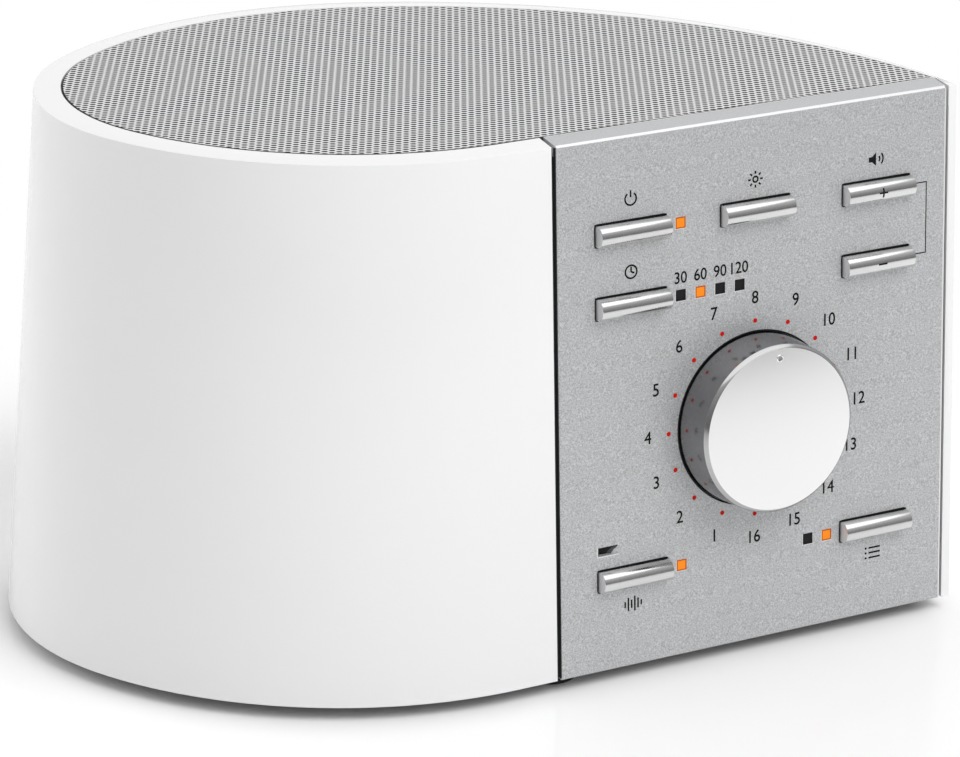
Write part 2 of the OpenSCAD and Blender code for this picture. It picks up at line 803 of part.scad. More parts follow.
// ---- indicators and microphone ----
first_lens_u = left_u + lens_offset;
last_lens_u = right_u - lens_offset;
lit_lenses = [
    [first_lens_u, row_power], [first_lens_u + lens_pitch, row_timer],
    [first_lens_u, row_select], [last_lens_u, row_select]
];
unlit_lenses = [
    [first_lens_u, row_timer], [first_lens_u + 2 * lens_pitch, row_timer],
    [first_lens_u + 3 * lens_pitch, row_timer], [last_lens_u - lens_pitch, row_select]
];
led_y = board_y - 1.8;
mic_u = mic_slot_u + 1.1;
mic_y = board_y - 2.7;

// Square light guide, flush with the panel's face
module light_guide(p) {
    panel_box(p.x, p.y, lens_side, lens_side, 0.1, led_y - 0.2);
}

module indicator_lenses_lit() {
    color("orange") placed() on_panel() for (p = lit_lenses) light_guide(p);
}

module indicator_lenses_unlit() {
    color([0.1, 0.1, 0.1]) placed() on_panel() for (p = unlit_lenses) light_guide(p);
}

module indicator_leds() {
    color("khaki") placed() on_panel() for (p = concat(lit_lenses, unlit_lenses)) {
        panel_box(p.x, p.y, 3, 2, led_y, board_y);
    }
}

module microphone_capsule() {
    color(steel) placed() on_panel() panel_rod(mic_u, mic_slot_v, 2.3, mic_y, board_y);
}

module microphone_boot() {
    color(dark) placed() on_panel() difference() {
        panel_rod(mic_u, mic_slot_v, 2.6, panel_wall, mic_y);
        panel_rod(mic_u, mic_slot_v, 1, 0, mic_y + 1);
    }
}

// ---- circuit boards ----
board_w = panel_w - 2 * board_margin;
module control_board() {
    color(board_green) placed() on_panel() difference() {
        translate([board_margin, board_y, -board_top - board_h]) cube([board_w, board_t, board_h]);
        for (p = board_pillars) panel_rod(p.x, p.y, screw_r + 0.3, board_y - 1, board_y + board_t + 1);
    }
}

ribbon_u = 12;
ribbon_w = 15;
ribbon_v = panel_len - 27.9;
chip_y = board_y + board_t;
chip_t = 1.6;
connector_t = 5;
// Middle across, middle down, width and height of each chip
chips = [
    [panel_mid + 10.5, 40, 12, 12],
    [panel_mid + 10.5, 60, 9, 6],
    [panel_mid - 21.5, 50, 8, 10]
];
// Microcontroller, memory and the ribbon connector on the back of the board
module control_chips() {
    color(dark) placed() on_panel() {
        for (c = chips) panel_box(c[0], c[1], c[2], c[3], chip_y, chip_y + chip_t);
        panel_box(ribbon_u, ribbon_v, ribbon_w + 3, connector_t, chip_y, chip_y + connector_t);
    }
}

module board_screws() {
    color(steel) placed() on_panel() for (p = board_pillars) {
        panel_rod(p.x, p.y, 2.5, chip_y, chip_y + 1.5);
        panel_rod(p.x, p.y, screw_r, board_y - 6, chip_y + skin);
    }
}

main_x = plate_x - main_w / 2 + 4;
main_y = plate_front_y - plate_body_t - 6 - main_d;
main_z = base_top + main_lift;
main_top = main_z + board_t;
main_holes = [for (dx = [4, main_w - 4]) for (dy = [4, main_d - 4]) [main_x + dx, main_y + dy]];

// Flat cable from the control board to the main board, folded down onto it
module ribbon_cable() {
    t = 0.8;
    start_z = top_z - (ribbon_v + 2) * cos(panel_lean) - chip_y * sin(panel_lean);
    start_y = chip_y * cos(panel_lean) - (ribbon_v + 2) * sin(panel_lean) + connector_t;
    end_y = main_y + 9;
    fold_z = main_top + 3;
    color([0.8, 0.8, 0.82]) placed() translate([ribbon_u - ribbon_w / 2, 0, 0])
        rotate([90, 0, 90]) linear_extrude(ribbon_w) polygon([
            [start_y, start_z], [start_y + 6, start_z], [start_y + 6 + t, start_z - 1],
            [start_y + 6 + t, fold_z + t], [end_y + t, fold_z + t], [end_y + t, main_top],
            [end_y, main_top], [end_y, fold_z], [start_y + 6, fold_z],
            [start_y + 6, start_z - t], [start_y, start_z - t]
        ]);
}

module main_board() {
    color(board_green) placed() difference() {
        translate([main_x, main_y, main_z]) cube([main_w, main_d, board_t]);
        for (p = main_holes) translate([p.x, p.y, main_z - 1]) cylinder(h = board_t + 2, r = screw_r + 0.3);
    }
}

module main_board_screws() {
    color(steel) placed() for (p = main_holes) {
        translate([p.x, p.y, main_top]) cylinder(h = 1.5, r = 2.5);
        translate([p.x, p.y, main_z - 5]) cylinder(h = 5 + board_t + skin, r = screw_r);
    }
}

amp_x = main_x + 18;
amp_y = main_y + 12;
module amplifier_chip() {
    color(dark) placed() translate([amp_x, amp_y, main_top]) cube([12, 8, 2]);
}

// Finned cooler on the amplifier chip
module heat_sink() {
    color([0.3, 0.3, 0.32]) placed() translate([amp_x - 1, amp_y - 3, main_top + 2]) {
        cube([14, 14, 2]);
        for (i = [0:4]) translate([i * 3.1, 0, 0]) cube([1.6, 14, 10]);
    }
}

capacitor_r = 3.8;
capacitor_h = 12;
capacitor_pitch = 9;
module capacitors() {
    color([0.15, 0.2, 0.4]) placed() for (i = [0:2]) {
        translate([main_x + main_w - 24 + capacitor_pitch * i, main_y + 24, main_top])
            cylinder(h = capacitor_h, r = capacitor_r);
    }
}

wire_r = 0.7;
wire_bend = 2;
// Two wires from the solder board straight down to the main board
module speaker_wires() {
    drop_z = flange_z0 - terminal_h + 2;
    color("firebrick") placed() for (x = [-2, 2]) at_speaker() translate([x, terminal_r, 0]) {
        translate([0, wire_bend + 0.5, main_top]) cylinder(h = drop_z - wire_bend - main_top, r = wire_r);
        translate([0, 0.5, drop_z - wire_bend]) rotate([0, -90, 0]) rotate_extrude(angle = 90)
            translate([wire_bend, 0]) circle(r = wire_r);
        translate([0, 0, drop_z]) rotate([-90, 0, 0]) cylinder(h = 0.5, r = wire_r);
    }
}

// ---- sockets ----
module along_socket(side) {
    placed() translate([plate_x + side * socket_offset, plate_front_y, plate_z])
        rotate([90, 0, 0]) children();
}

nose_in = 0.3;
power_nose_r = 4.4;
audio_nose_r = 3;
socket_back = plate_body_t + 1.6;
socket_len = 11;
module power_socket() {
    color(dark) along_socket(-1) {
        difference() {
            union() {
                translate([0, 0, nose_in]) cylinder(h = socket_back, r = power_nose_r);
                translate([-4.8, -socket_h, socket_back]) cube([9.6, 2 * socket_h - 1.5, socket_len]);
            }
            translate([0, 0, -1]) cylinder(h = socket_back + socket_len - 1, r = power_bore_r);
        }
        translate([0, 0, 1]) cylinder(h = socket_back + socket_len - 1.5, r = 1);
    }
}

module headphone_socket() {
    color(dark) along_socket(1) difference() {
        union() {
            translate([0, 0, nose_in]) cylinder(h = socket_back, r = audio_nose_r);
            translate([-4, -socket_h, socket_back]) cube([8, 2 * socket_h - 2, socket_len + 2]);
        }
        translate([0, 0, -1]) cylinder(h = socket_back + socket_len, r = audio_bore_r);
    }
}

// Recessed black plate around the two sockets
module socket_plate() {
    color(dark) placed() difference() {
        union() {
            translate([plate_x - plate_half_w, plate_front_y - plate_body_t, plate_z - plate_half_h])
                cube([2 * plate_half_w, plate_body_t, 2 * plate_half_h]);
            translate([plate_x - plate_half_w - 2, plate_front_y - plate_body_t - 1.5,
                       plate_z - plate_half_h - 1])
                cube([2 * plate_half_w + 4, 1.5 + skin, 2 * plate_half_h + 3]);
        }
        socket_hole(-1, power_nose_r);
        socket_hole(1, audio_nose_r);
    }
}

module socket_hole(side, r) {
    translate([plate_x + side * socket_offset, plate_front_y + 1, plate_z]) rotate([90, 0, 0])
        cylinder(h = 10, r = r + slack);
}

// ---- base ----
module base_plate() {
    low = wall_outline(foot_gap, base_inset);
    inner = wall_outline(foot_gap, base_inset + base_rim_t);
    color(dark) placed() difference() {
        union() {
            difference() {
                slab(low, base_lift, base_rim_h);
                slab(inner, base_top, base_rim_h + 1);
            }
            for (p = main_holes) translate([p.x, p.y, base_top - skin]) cylinder(h = main_lift + skin, r = 3);
        }
        for (p = concat(pillars, [for (x = panel_pillars) [x, panel_pillar_y]])) {
            translate([p.x, p.y, base_lift - 1]) cylinder(h = base_t + 2, r = screw_r + 0.4);
            translate([p.x, p.y, base_lift - 1]) cylinder(h = 1 + screw_head_t, r = screw_head_r + 0.3);
        }
        for (p = feet) {
            translate([p.x, p.y, base_lift - 1]) cylinder(h = 1 + foot_seat, r = foot_r + slack);
        }
        for (p = main_holes) translate([p.x, p.y, base_top + 1]) cylinder(h = main_lift, r = screw_pilot);
    }
}

module rubber_feet() {
    color([0.2, 0.2, 0.2]) placed() for (p = feet) {
        translate([p.x, p.y, 0]) cylinder(h = base_lift + foot_seat, r = foot_r);
    }
}

module base_screws() {
    color(steel) placed() for (p = concat(pillars, [for (x = panel_pillars) [x, panel_pillar_y]])) {
        translate([p.x, p.y, base_lift]) cylinder(h = screw_head_t, r = screw_head_r);
        translate([p.x, p.y, base_lift + screw_head_t - skin]) cylinder(h = screw_len, r = screw_r);
    }
}

outer_shell();
front_panel();
seam_gasket();
speaker_grille();
grille_scrim();
speaker_baffle();
baffle_push_nuts();
speaker_gasket();
speaker_basket();
speaker_surround();
speaker_spider();
speaker_cone();
dust_cap();
voice_coil();
speaker_top_plate();
speaker_magnet();
speaker_yoke();
speaker_terminal();
speaker_screws();
dial_knob();
dial_face();
dial_core();
encoder_shaft();
encoder_body();
encoder_nut();
power_button();
display_button();
volume_up_button();
volume_down_button();
timer_button();
adaptive_button();
selection_button();
tact_switches();
indicator_lenses_lit();
indicator_lenses_unlit();
indicator_leds();
microphone_capsule();
microphone_boot();
control_board();
control_chips();
board_screws();
ribbon_cable();
speaker_wires();
main_board();
main_board_screws();
amplifier_chip();
heat_sink();
capacitors();
power_socket();
headphone_socket();
socket_plate();
base_plate();
rubber_feet();
base_screws();
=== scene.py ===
"""Dresses the bedside sound machine: gloss shell, perforated grille, sparkling silver panel,
spun dial, bar buttons, lit windows and printed signs, on a white studio floor."""
import json
import math

import bmesh
import bpy
from bpy.props import FloatProperty, FloatVectorProperty, IntProperty, PointerProperty
from mathutils import Matrix, Vector


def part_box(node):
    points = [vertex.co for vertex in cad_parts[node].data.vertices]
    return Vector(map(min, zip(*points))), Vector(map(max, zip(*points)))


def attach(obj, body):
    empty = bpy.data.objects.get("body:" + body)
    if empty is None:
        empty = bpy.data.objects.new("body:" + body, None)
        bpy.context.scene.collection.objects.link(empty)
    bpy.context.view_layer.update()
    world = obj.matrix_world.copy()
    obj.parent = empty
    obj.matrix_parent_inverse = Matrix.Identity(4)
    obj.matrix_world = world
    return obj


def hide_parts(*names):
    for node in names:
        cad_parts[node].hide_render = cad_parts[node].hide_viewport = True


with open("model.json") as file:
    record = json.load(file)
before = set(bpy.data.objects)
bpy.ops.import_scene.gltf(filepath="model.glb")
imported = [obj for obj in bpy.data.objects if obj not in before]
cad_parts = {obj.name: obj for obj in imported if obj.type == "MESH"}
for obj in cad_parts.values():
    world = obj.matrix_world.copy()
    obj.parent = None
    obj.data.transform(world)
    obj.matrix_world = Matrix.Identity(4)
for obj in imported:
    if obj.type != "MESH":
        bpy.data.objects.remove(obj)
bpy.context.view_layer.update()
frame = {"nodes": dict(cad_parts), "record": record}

bl_info = {
    "name": "Sound machine",
    "version": (1, 0, 0),
    "blender": (4, 5, 0),
    "location": "3D View > Sidebar > Sound machine",
    "description": "Builds the visible pieces and finishes of a bedside sound machine",
    "category": "Add Mesh",
}

MM = 0.001
RECORD = frame["record"]

# Sizes shared with the solid model, in millimetres. On the panel, u runs to the right and v down
# from its top left corner.
PANEL_W = 103.1
PANEL_LEN = 123.9
LEAN = math.radians(3.75)
BAND_DEPTH = 5.5
SEAM_GAP = 1.0
EDGE_GAP = 0.8
SHELL_WALL = 2.2
ROOF_WALL = 4.0
RIM_W = 6.1
RIM_RISE = 0.7
GRILLE_SINK = 0.1
GRILLE_T = 1.0
LEDGE_W = 3.0
FOOT_GAP = 3.4
SLACK = 0.15
DIAL_V = 70.5
DIAL_BASE_R = 20.2
DIAL_FRONT_R = 19.7
DIAL_H = 10.8
DIAL_RECESS = 1.2
DIAL_BEVEL = 0.8
BUTTON_W = 18.2
BUTTON_H = 4.9
BUTTON_OUT = 3.2
BAR_R = BUTTON_H / 2
BAR_AXIS = BAR_R - BUTTON_OUT
COLUMN = 32.6
ROW_POWER = 21.75
ROW_TIMER = 38.5
ROW_SELECT = 102.3
LENS_SIDE = 2.4
LENS_OFFSET = 12.9
LENS_PITCH = 5.18
LEFT_U, MIDDLE_U, RIGHT_U = (PANEL_W / 2 + side * COLUMN for side in (-1, 0, 1))
MIC_U, MIC_V, MIC_W, MIC_H = 9.8, PANEL_LEN - 28.6, 5.4, 2.1

# Sizes of the dressed model alone, in millimetres
GRILLE_GAP = 0.4            # dark gap between the punched plate and the rim
SHEET_T = 0.4               # thickness of the punched plate
BASE_STEP = 8.6             # width of the base's raised border, from the shell's lower edge
DOTS_R = 23.0               # radius of the ring of dots round the dial
NUMBERS_R = 28.5            # radius of the ring of numbers
FIRST_NUMBER = 247.5        # direction of number 1, in degrees from the right, anticlockwise
POINTER_R = 16.7            # distance of the pointer from the dial's axis
MINUTES_V = 34.4            # row of the minutes above the timer's windows
PROUD = 0.02                # height of the print above the panel's face
INK = 0.03                  # thickness of the print
LINE = 0.42                 # width of the pictograms' lines
FIGURE_SQUEEZE = 0.92       # width of the figures against the built-in font's
FIGURE_GROWTH = 0.045       # how far the outline of the built-in figures is moved outwards

# The panel's top left corner in the row frame
X0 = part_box("front_panel")[0].x / MM
Y0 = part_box("speaker_grille")[0].y / MM - BAND_DEPTH
TOP_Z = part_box("speaker_grille")[1].z / MM - RIM_RISE + GRILLE_SINK

ROW_FRAME = Matrix.Translation((X0 * MM, Y0 * MM, TOP_Z * MM))
PANEL = ROW_FRAME @ Matrix.Rotation(-LEAN, 4, "X") @ Matrix.Scale(MM, 4)
# Turns flat artwork, drawn with x across and y up, onto the panel's face
ON_FACE = Matrix.Rotation(math.radians(90), 4, "X")


# ---------------------------------------------------------------- plan outline
def direction(degrees):
    """Direction in the plan, anticlockwise from the right."""
    a = math.radians(degrees)
    return Vector((math.cos(a), math.sin(a)))


# Arcs of the plan: centre, radius and the direction in which each ends
CORNER_X = PANEL_W + EDGE_GAP + SHELL_WALL
FRONT_C, FRONT_R, FRONT_END = Vector((-11.3, 79.0)), 79.0, 203.7
SIDE_R, SIDE_END = 52.8, 125.0
BACK_R, BACK_END = 87.0, 69.5
SIDE_C = FRONT_C + (FRONT_R - SIDE_R) * direction(FRONT_END)
BACK_C = SIDE_C + (SIDE_R - BACK_R) * direction(SIDE_END)
ARC_STEPS = 44, 52, 37, 46


def arc(centre, radius, start, end, count, first=0):
    """Points on an arc from one direction to another."""
    return [centre + radius * direction(start + (end - start) * i / count)
            for i in range(first, count + 1)]


def outline(grow, corner, shift=(0.0, 0.0), stop_y=0.0):
    """Plan curve from the flat front round the left, the back and the right to stop_y before
    the corner. It is the base curve grown outwards, and it ends in three points to the corner."""
    shift = Vector(shift)
    corner = Vector(corner) - shift
    v, rb, n = corner - BACK_C, BACK_R + grow, direction(BACK_END)
    radius = rb + (v.dot(v) - rb * rb) / (2 * (rb - v.dot(n)))
    centre = BACK_C - (radius - rb) * n
    stop = math.degrees(math.asin((corner.y + stop_y - centre.y) / radius))
    end = math.degrees(math.asin((corner.y - centre.y) / radius))
    front, side, back, right = ARC_STEPS
    points = arc(FRONT_C, FRONT_R + grow, 270, FRONT_END, front)
    points += arc(SIDE_C, SIDE_R + grow, FRONT_END, SIDE_END, side, 1)
    points += arc(BACK_C, BACK_R + grow, SIDE_END, BACK_END, back, 1)
    points += arc(centre, radius, BACK_END, stop, right, 1)
    points += [centre + radius * direction((stop + end) / 2), corner]
    return [p + shift for p in points]


def wall_row(z, inset=0.0):
    """Open row of points round the wall at height z below the top, from the seam to the corner."""
    grow = -z * math.tan(LEAN)
    front_y = inset - grow
    corner = (CORNER_X - inset, -grow)
    row = outline(grow - inset, corner, stop_y=BAND_DEPTH)
    return [Vector((p.x, p.y, z)) for p in [Vector((-SEAM_GAP, front_y)), *row]]


def grille_row(z, inset=0.0, to_corner=True):
    """Row of points round the grille's plate at height z above the top; where it goes on to the
    corner, its end drops to the wall's end."""
    corner = (PANEL_W - inset, BAND_DEPTH + inset)
    row = outline(-RIM_W - inset, corner, (0, BAND_DEPTH - RIM_W), stop_y=0.6)
    row = [Vector((p.x, p.y, z)) for p in [Vector((-SEAM_GAP, BAND_DEPTH + inset)), *row]]
    if to_corner:
        wall_end = CORNER_X - SHELL_WALL
        row[-3] = Vector((PANEL_W - inset, BAND_DEPTH + inset, z))
        row[-2] = Vector((wall_end, BAND_DEPTH, z - 0.15))
        row[-1] = Vector((wall_end, 0.0, z - RIM_RISE))
    return row


def to_row_frame(bm):
    """Plan millimetres, with z from the panel's top edge, to metres in the row frame."""
    place(bm, ROW_FRAME @ Matrix.Scale(MM, 4))


# ---------------------------------------------------------------- mesh helpers
def place(bm, matrix, verts=None):
    """Moves a mesh under construction, or only the given vertices of it."""
    bmesh.ops.transform(bm, matrix=matrix, verts=bm.verts if verts is None else verts)


def verts_of(geom):
    return [part for part in geom if isinstance(part, bmesh.types.BMVert)]


def neighbours(row, closed=False):
    """Pairs of neighbours in a row, with the last and the first where it is closed."""
    return list(zip(row, row[1:] + row[:1] if closed else row[1:]))


def row_edges(bm, *rows, closed=False):
    return [bm.edges.get(pair) for row in rows for pair in neighbours(row, closed)]


def chain(bm, points, closed=False):
    """Vertices joined in a row by edges."""
    verts = [bm.verts.new(p) for p in points]
    for pair in neighbours(verts, closed):
        bm.edges.new(pair)
    return verts


def extrude_row(bm, verts, points, closed=False):
    """Extrudes a row of vertices and moves the new row to the given points."""
    edges = row_edges(bm, verts, closed=closed)
    fresh = set(verts_of(bmesh.ops.extrude_edge_only(bm, edges=edges)["geom"]))
    row = [next(e.other_vert(v) for e in v.link_edges if e.other_vert(v) in fresh) for v in verts]
    for v, p in zip(row, points):
        v.co = p
    return row


def skin(bm, rows, closed=False):
    """Faces through rows of points; returns the rows of vertices."""
    made = [chain(bm, rows[0], closed)]
    for row in rows[1:]:
        made.append(extrude_row(bm, made[-1], row, closed))
    return made


def bevel(bm, edges, offset):
    bmesh.ops.bevel(bm, geom=edges, offset=offset, offset_type="OFFSET", affect="EDGES",
                    segments=3, profile=0.5, material=-1, clamp_overlap=True)


def recalculate(bm):
    bmesh.ops.recalc_face_normals(bm, faces=bm.faces)


def side_normal(a, b):
    """Outward direction of a side of the plan outline, which runs clockwise."""
    return Vector((a.y - b.y, b.x - a.x)).normalized()


def lay_down(bm, mesh, places):
    """Adds a copy of the mesh at each place."""
    for at in places:
        mesh.transform(Matrix.Translation(at.to_3d()))
        bm.from_mesh(mesh)
        mesh.transform(Matrix.Translation(-at.to_3d()))


def lathe(bm, profile, steps):
    """Spins (radius, height) points round the z axis into a closed skin."""
    verts = [bm.verts.new((r, 0, z)) for r, z in profile]
    edges = [bm.edges.new(pair) for pair in neighbours(verts)]
    bmesh.ops.spin(bm, geom=verts + edges, cent=(0, 0, 0), axis=(0, 0, 1), dvec=(0, 0, 0),
                   angle=math.tau, steps=steps, use_merge=True, use_duplicate=False)
    bmesh.ops.remove_doubles(bm, verts=bm.verts, dist=1e-4)
    recalculate(bm)


def box(bm, low, high):
    """Box between two corners; returns its vertices."""
    verts = bmesh.ops.create_cube(bm, size=1)["verts"]
    low, high = Vector(low), Vector(high)
    place(bm, Matrix.Translation((low + high) / 2) @ Matrix.Diagonal((*(high - low), 1)), verts)
    return verts


def to_mesh(bm, name):
    """Ends a mesh under construction."""
    mesh = bpy.data.meshes.new(name)
    bm.to_mesh(mesh)
    bm.free()
    return mesh


def show(name, data):
    """Puts a mesh, curve, lamp or camera into the scene."""
    obj = bpy.data.objects.new(name, data)
    bpy.context.scene.collection.objects.link(obj)
    return obj


def shade(mesh, sharp_from):
    """Smooth shading, with sharp edges from an angle in degrees."""
    mesh.shade_smooth()
    mesh.set_sharp_from_angle(angle=math.radians(sharp_from))


def finish_piece(bm, name, body, slot_name, sharp_from=30, replaces=()):
    """Makes the object, gives it its finish and ties it to its body."""
    obj = show(name, to_mesh(bm, name))
    shade(obj.data, sharp_from)
    obj.data.materials.append(finish(slot_name))
    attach(obj, body)
    if replaces:
        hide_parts(*replaces)
    return obj


def cut(piece, tool):
    """Takes the volume of the tool, a mesh under construction in metres, out of a piece."""
    cutter = show("tool", to_mesh(tool, "tool"))
    difference = piece.modifiers.new("cut", "BOOLEAN")
    difference.operation, difference.solver = "DIFFERENCE", "EXACT"
    difference.object = cutter
    depsgraph = bpy.context.evaluated_depsgraph_get()
    result = bpy.data.meshes.new_from_object(piece.evaluated_get(depsgraph))
    piece.modifiers.clear()
    piece.data = result
    bpy.data.objects.remove(cutter)


# ---------------------------------------------------------------- shader nodes
def adjust(tree, node, **settings):
    """Sets a node's inputs and properties; an input can be given another node's output."""
    for key, value in settings.items():
        name = key.replace("_", " ")
        if name not in node.inputs:
            setattr(node, key, value)
        elif isinstance(value, bpy.types.NodeSocket):
            tree.links.new(value, node.inputs[name])
        else:
            node.inputs[name].default_value = value


def add_node(tree, kind, *sources, **settings):
    """Adds a node with its settings, and links its first inputs to the given outputs."""
    node = tree.nodes.new("ShaderNode" + kind)
    adjust(tree, node, **settings)
    for source, socket in zip(sources, node.inputs):
        tree.links.new(source, socket)
    return node


def object_space(tree, scale=(1, 1, 1)):
    """Object coordinates, scaled so that a pattern can be stretched one way."""
    coords = add_node(tree, "TexCoord").outputs["Object"]
    return add_node(tree, "Mapping", coords, Scale=scale).outputs["Vector"]


def along(tree, vector, axis):
    return add_node(tree, "SeparateXYZ", vector).outputs[axis]


def measured(tree, operation, vector, other):
    """A number from a place or direction and a fixed one, such as their distance."""
    node = add_node(tree, "VectorMath", vector, operation=operation)
    node.inputs[1].default_value = other
    return node.outputs["Value"]


def ramped(tree, value, source, target, kind="LINEAR"):
    """Maps a value from one range to another."""
    return add_node(tree, "MapRange", value, interpolation_type=kind, From_Min=source[0],
                    From_Max=source[1], To_Min=target[0], To_Max=target[1]).outputs["Result"]


def combined(tree, operation, a, b):
    """Joins two values with one sum."""
    return add_node(tree, "Math", a, b, operation=operation).outputs["Value"]


def mixed(tree, factor, a, b):
    """Blends two colours."""
    return add_node(tree, "Mix", data_type="RGBA", Factor=factor, A=a, B=b).outputs["Result"]


def cloudy(tree, vector, size, detail, **settings):
    """A cloudy pattern with a grain of the given size in millimetres."""
    return add_node(tree, "TexNoise", vector, Scale=1 / (size * MM), Detail=detail,
                    **settings).outputs["Fac"]


def emboss(tree, shader, height, depth, strength):
    """Raises a surface by a pattern, to a depth in millimetres."""
    bump = add_node(tree, "Bump", Height=height, Distance=depth * MM, Strength=strength)
    adjust(tree, shader, Normal=bump.outputs["Normal"])


def shade_of(colour, factor=1.0):
    """A darker or brighter shade of a colour, with its alpha."""
    return (*[min(c * factor, 1) for c in colour], 1)


def grey(level):
    return (level, level, level, 1)


# ---------------------------------------------------------------- finishes
def base_finish(name, colour, **settings):
    material = bpy.data.materials.new(name)
    material.use_nodes = True
    material.diffuse_color = shade_of(colour)
    shader = material.node_tree.nodes["Principled BSDF"]
    adjust(material.node_tree, shader, Base_Color=shade_of(colour), **settings)
    return material, material.node_tree, shader


def grain(name, colour, roughness, metallic, size, depth, tint, stretch=(1, 1, 1),
          rough_spread=0.08, detail=2.0, **settings):
    """A finish whose colour, roughness and surface vary with a fine grain, of the given size and
    depth in millimetres."""
    material, tree, shader = base_finish(name, colour, Metallic=metallic, **settings)
    pattern = cloudy(tree, object_space(tree, stretch), size, detail)
    rough = max(roughness - rough_spread, 0.02), min(roughness + rough_spread, 1)
    adjust(tree, shader, Roughness=ramped(tree, pattern, (0, 1), rough), Base_Color=mixed(
        tree, pattern, shade_of(colour, 1 - tint), shade_of(colour, 1 + tint)))
    emboss(tree, shader, pattern, depth, 0.4)
    return material


def silver_paint(name):
    """Silver paint with metal flakes: fine light and dark specks over a soft mottle, calmer on
    the band over the top."""
    look = bpy.context.scene.machine_finishes
    colour, spread = look.panel_colour, look.flake_contrast
    material, tree, shader = base_finish(name, colour, Roughness=0.42, Metallic=look.panel_metal)
    vector = object_space(tree)
    flakes = cloudy(tree, vector, look.flake_size / MM, 3.0, Roughness=0.7)
    specks = add_node(tree, "ValToRGB", flakes)
    for stop, position, factor in zip(specks.color_ramp.elements, (0.32, 0.68),
                                      (1 - spread, 1 + spread)):
        stop.position, stop.color = position, shade_of(colour, factor)
    veil = ramped(tree, cloudy(tree, vector, 4, 2.0), (0, 1), (0, 0.35))
    band = ramped(tree, along(tree, vector, "Z"), ((TOP_Z - 0.4) * MM, TOP_Z * MM), (0, 0.8))
    calm = combined(tree, "MAXIMUM", veil, band)
    adjust(tree, shader, Base_Color=mixed(
        tree, calm, specks.outputs["Color"], shade_of(colour, 0.97)))
    emboss(tree, shader, flakes, 0.02, 0.5)
    return material


def spun_metal(name, colour):
    """Turned aluminium: fine rings round the dial's axis."""
    look = bpy.context.scene.machine_finishes
    material, tree, shader = base_finish(name, colour, Roughness=look.dial_roughness,
                                         Metallic=1.0)
    coords = add_node(tree, "TexCoord").outputs["Object"]
    radius = measured(tree, "DISTANCE", coords, PANEL @ Vector((MIDDLE_U, 0, -DIAL_V)))
    rings = add_node(tree, "TexNoise", noise_dimensions="1D", W=radius, Scale=1 / (0.12 * MM),
                     Detail=3.0)
    emboss(tree, shader, rings.outputs["Fac"], 0.004, 0.35)
    return material


def lit_lens(name):
    """Orange window, lit from behind, a little paler in the middle of its depth."""
    look = bpy.context.scene.machine_finishes
    colour = look.lens_colour
    material, tree, shader = base_finish(name, colour, Roughness=0.35, Specular_IOR_Level=0.2)
    pattern = cloudy(tree, object_space(tree), 1.2, 1.0)
    adjust(tree, shader, Emission_Color=mixed(
        tree, pattern, shade_of(colour), shade_of(colour, 1.06)))
    adjust(tree, shader, Base_Color=shade_of(colour, 0.2), Emission_Strength=look.lens_glow)
    return material


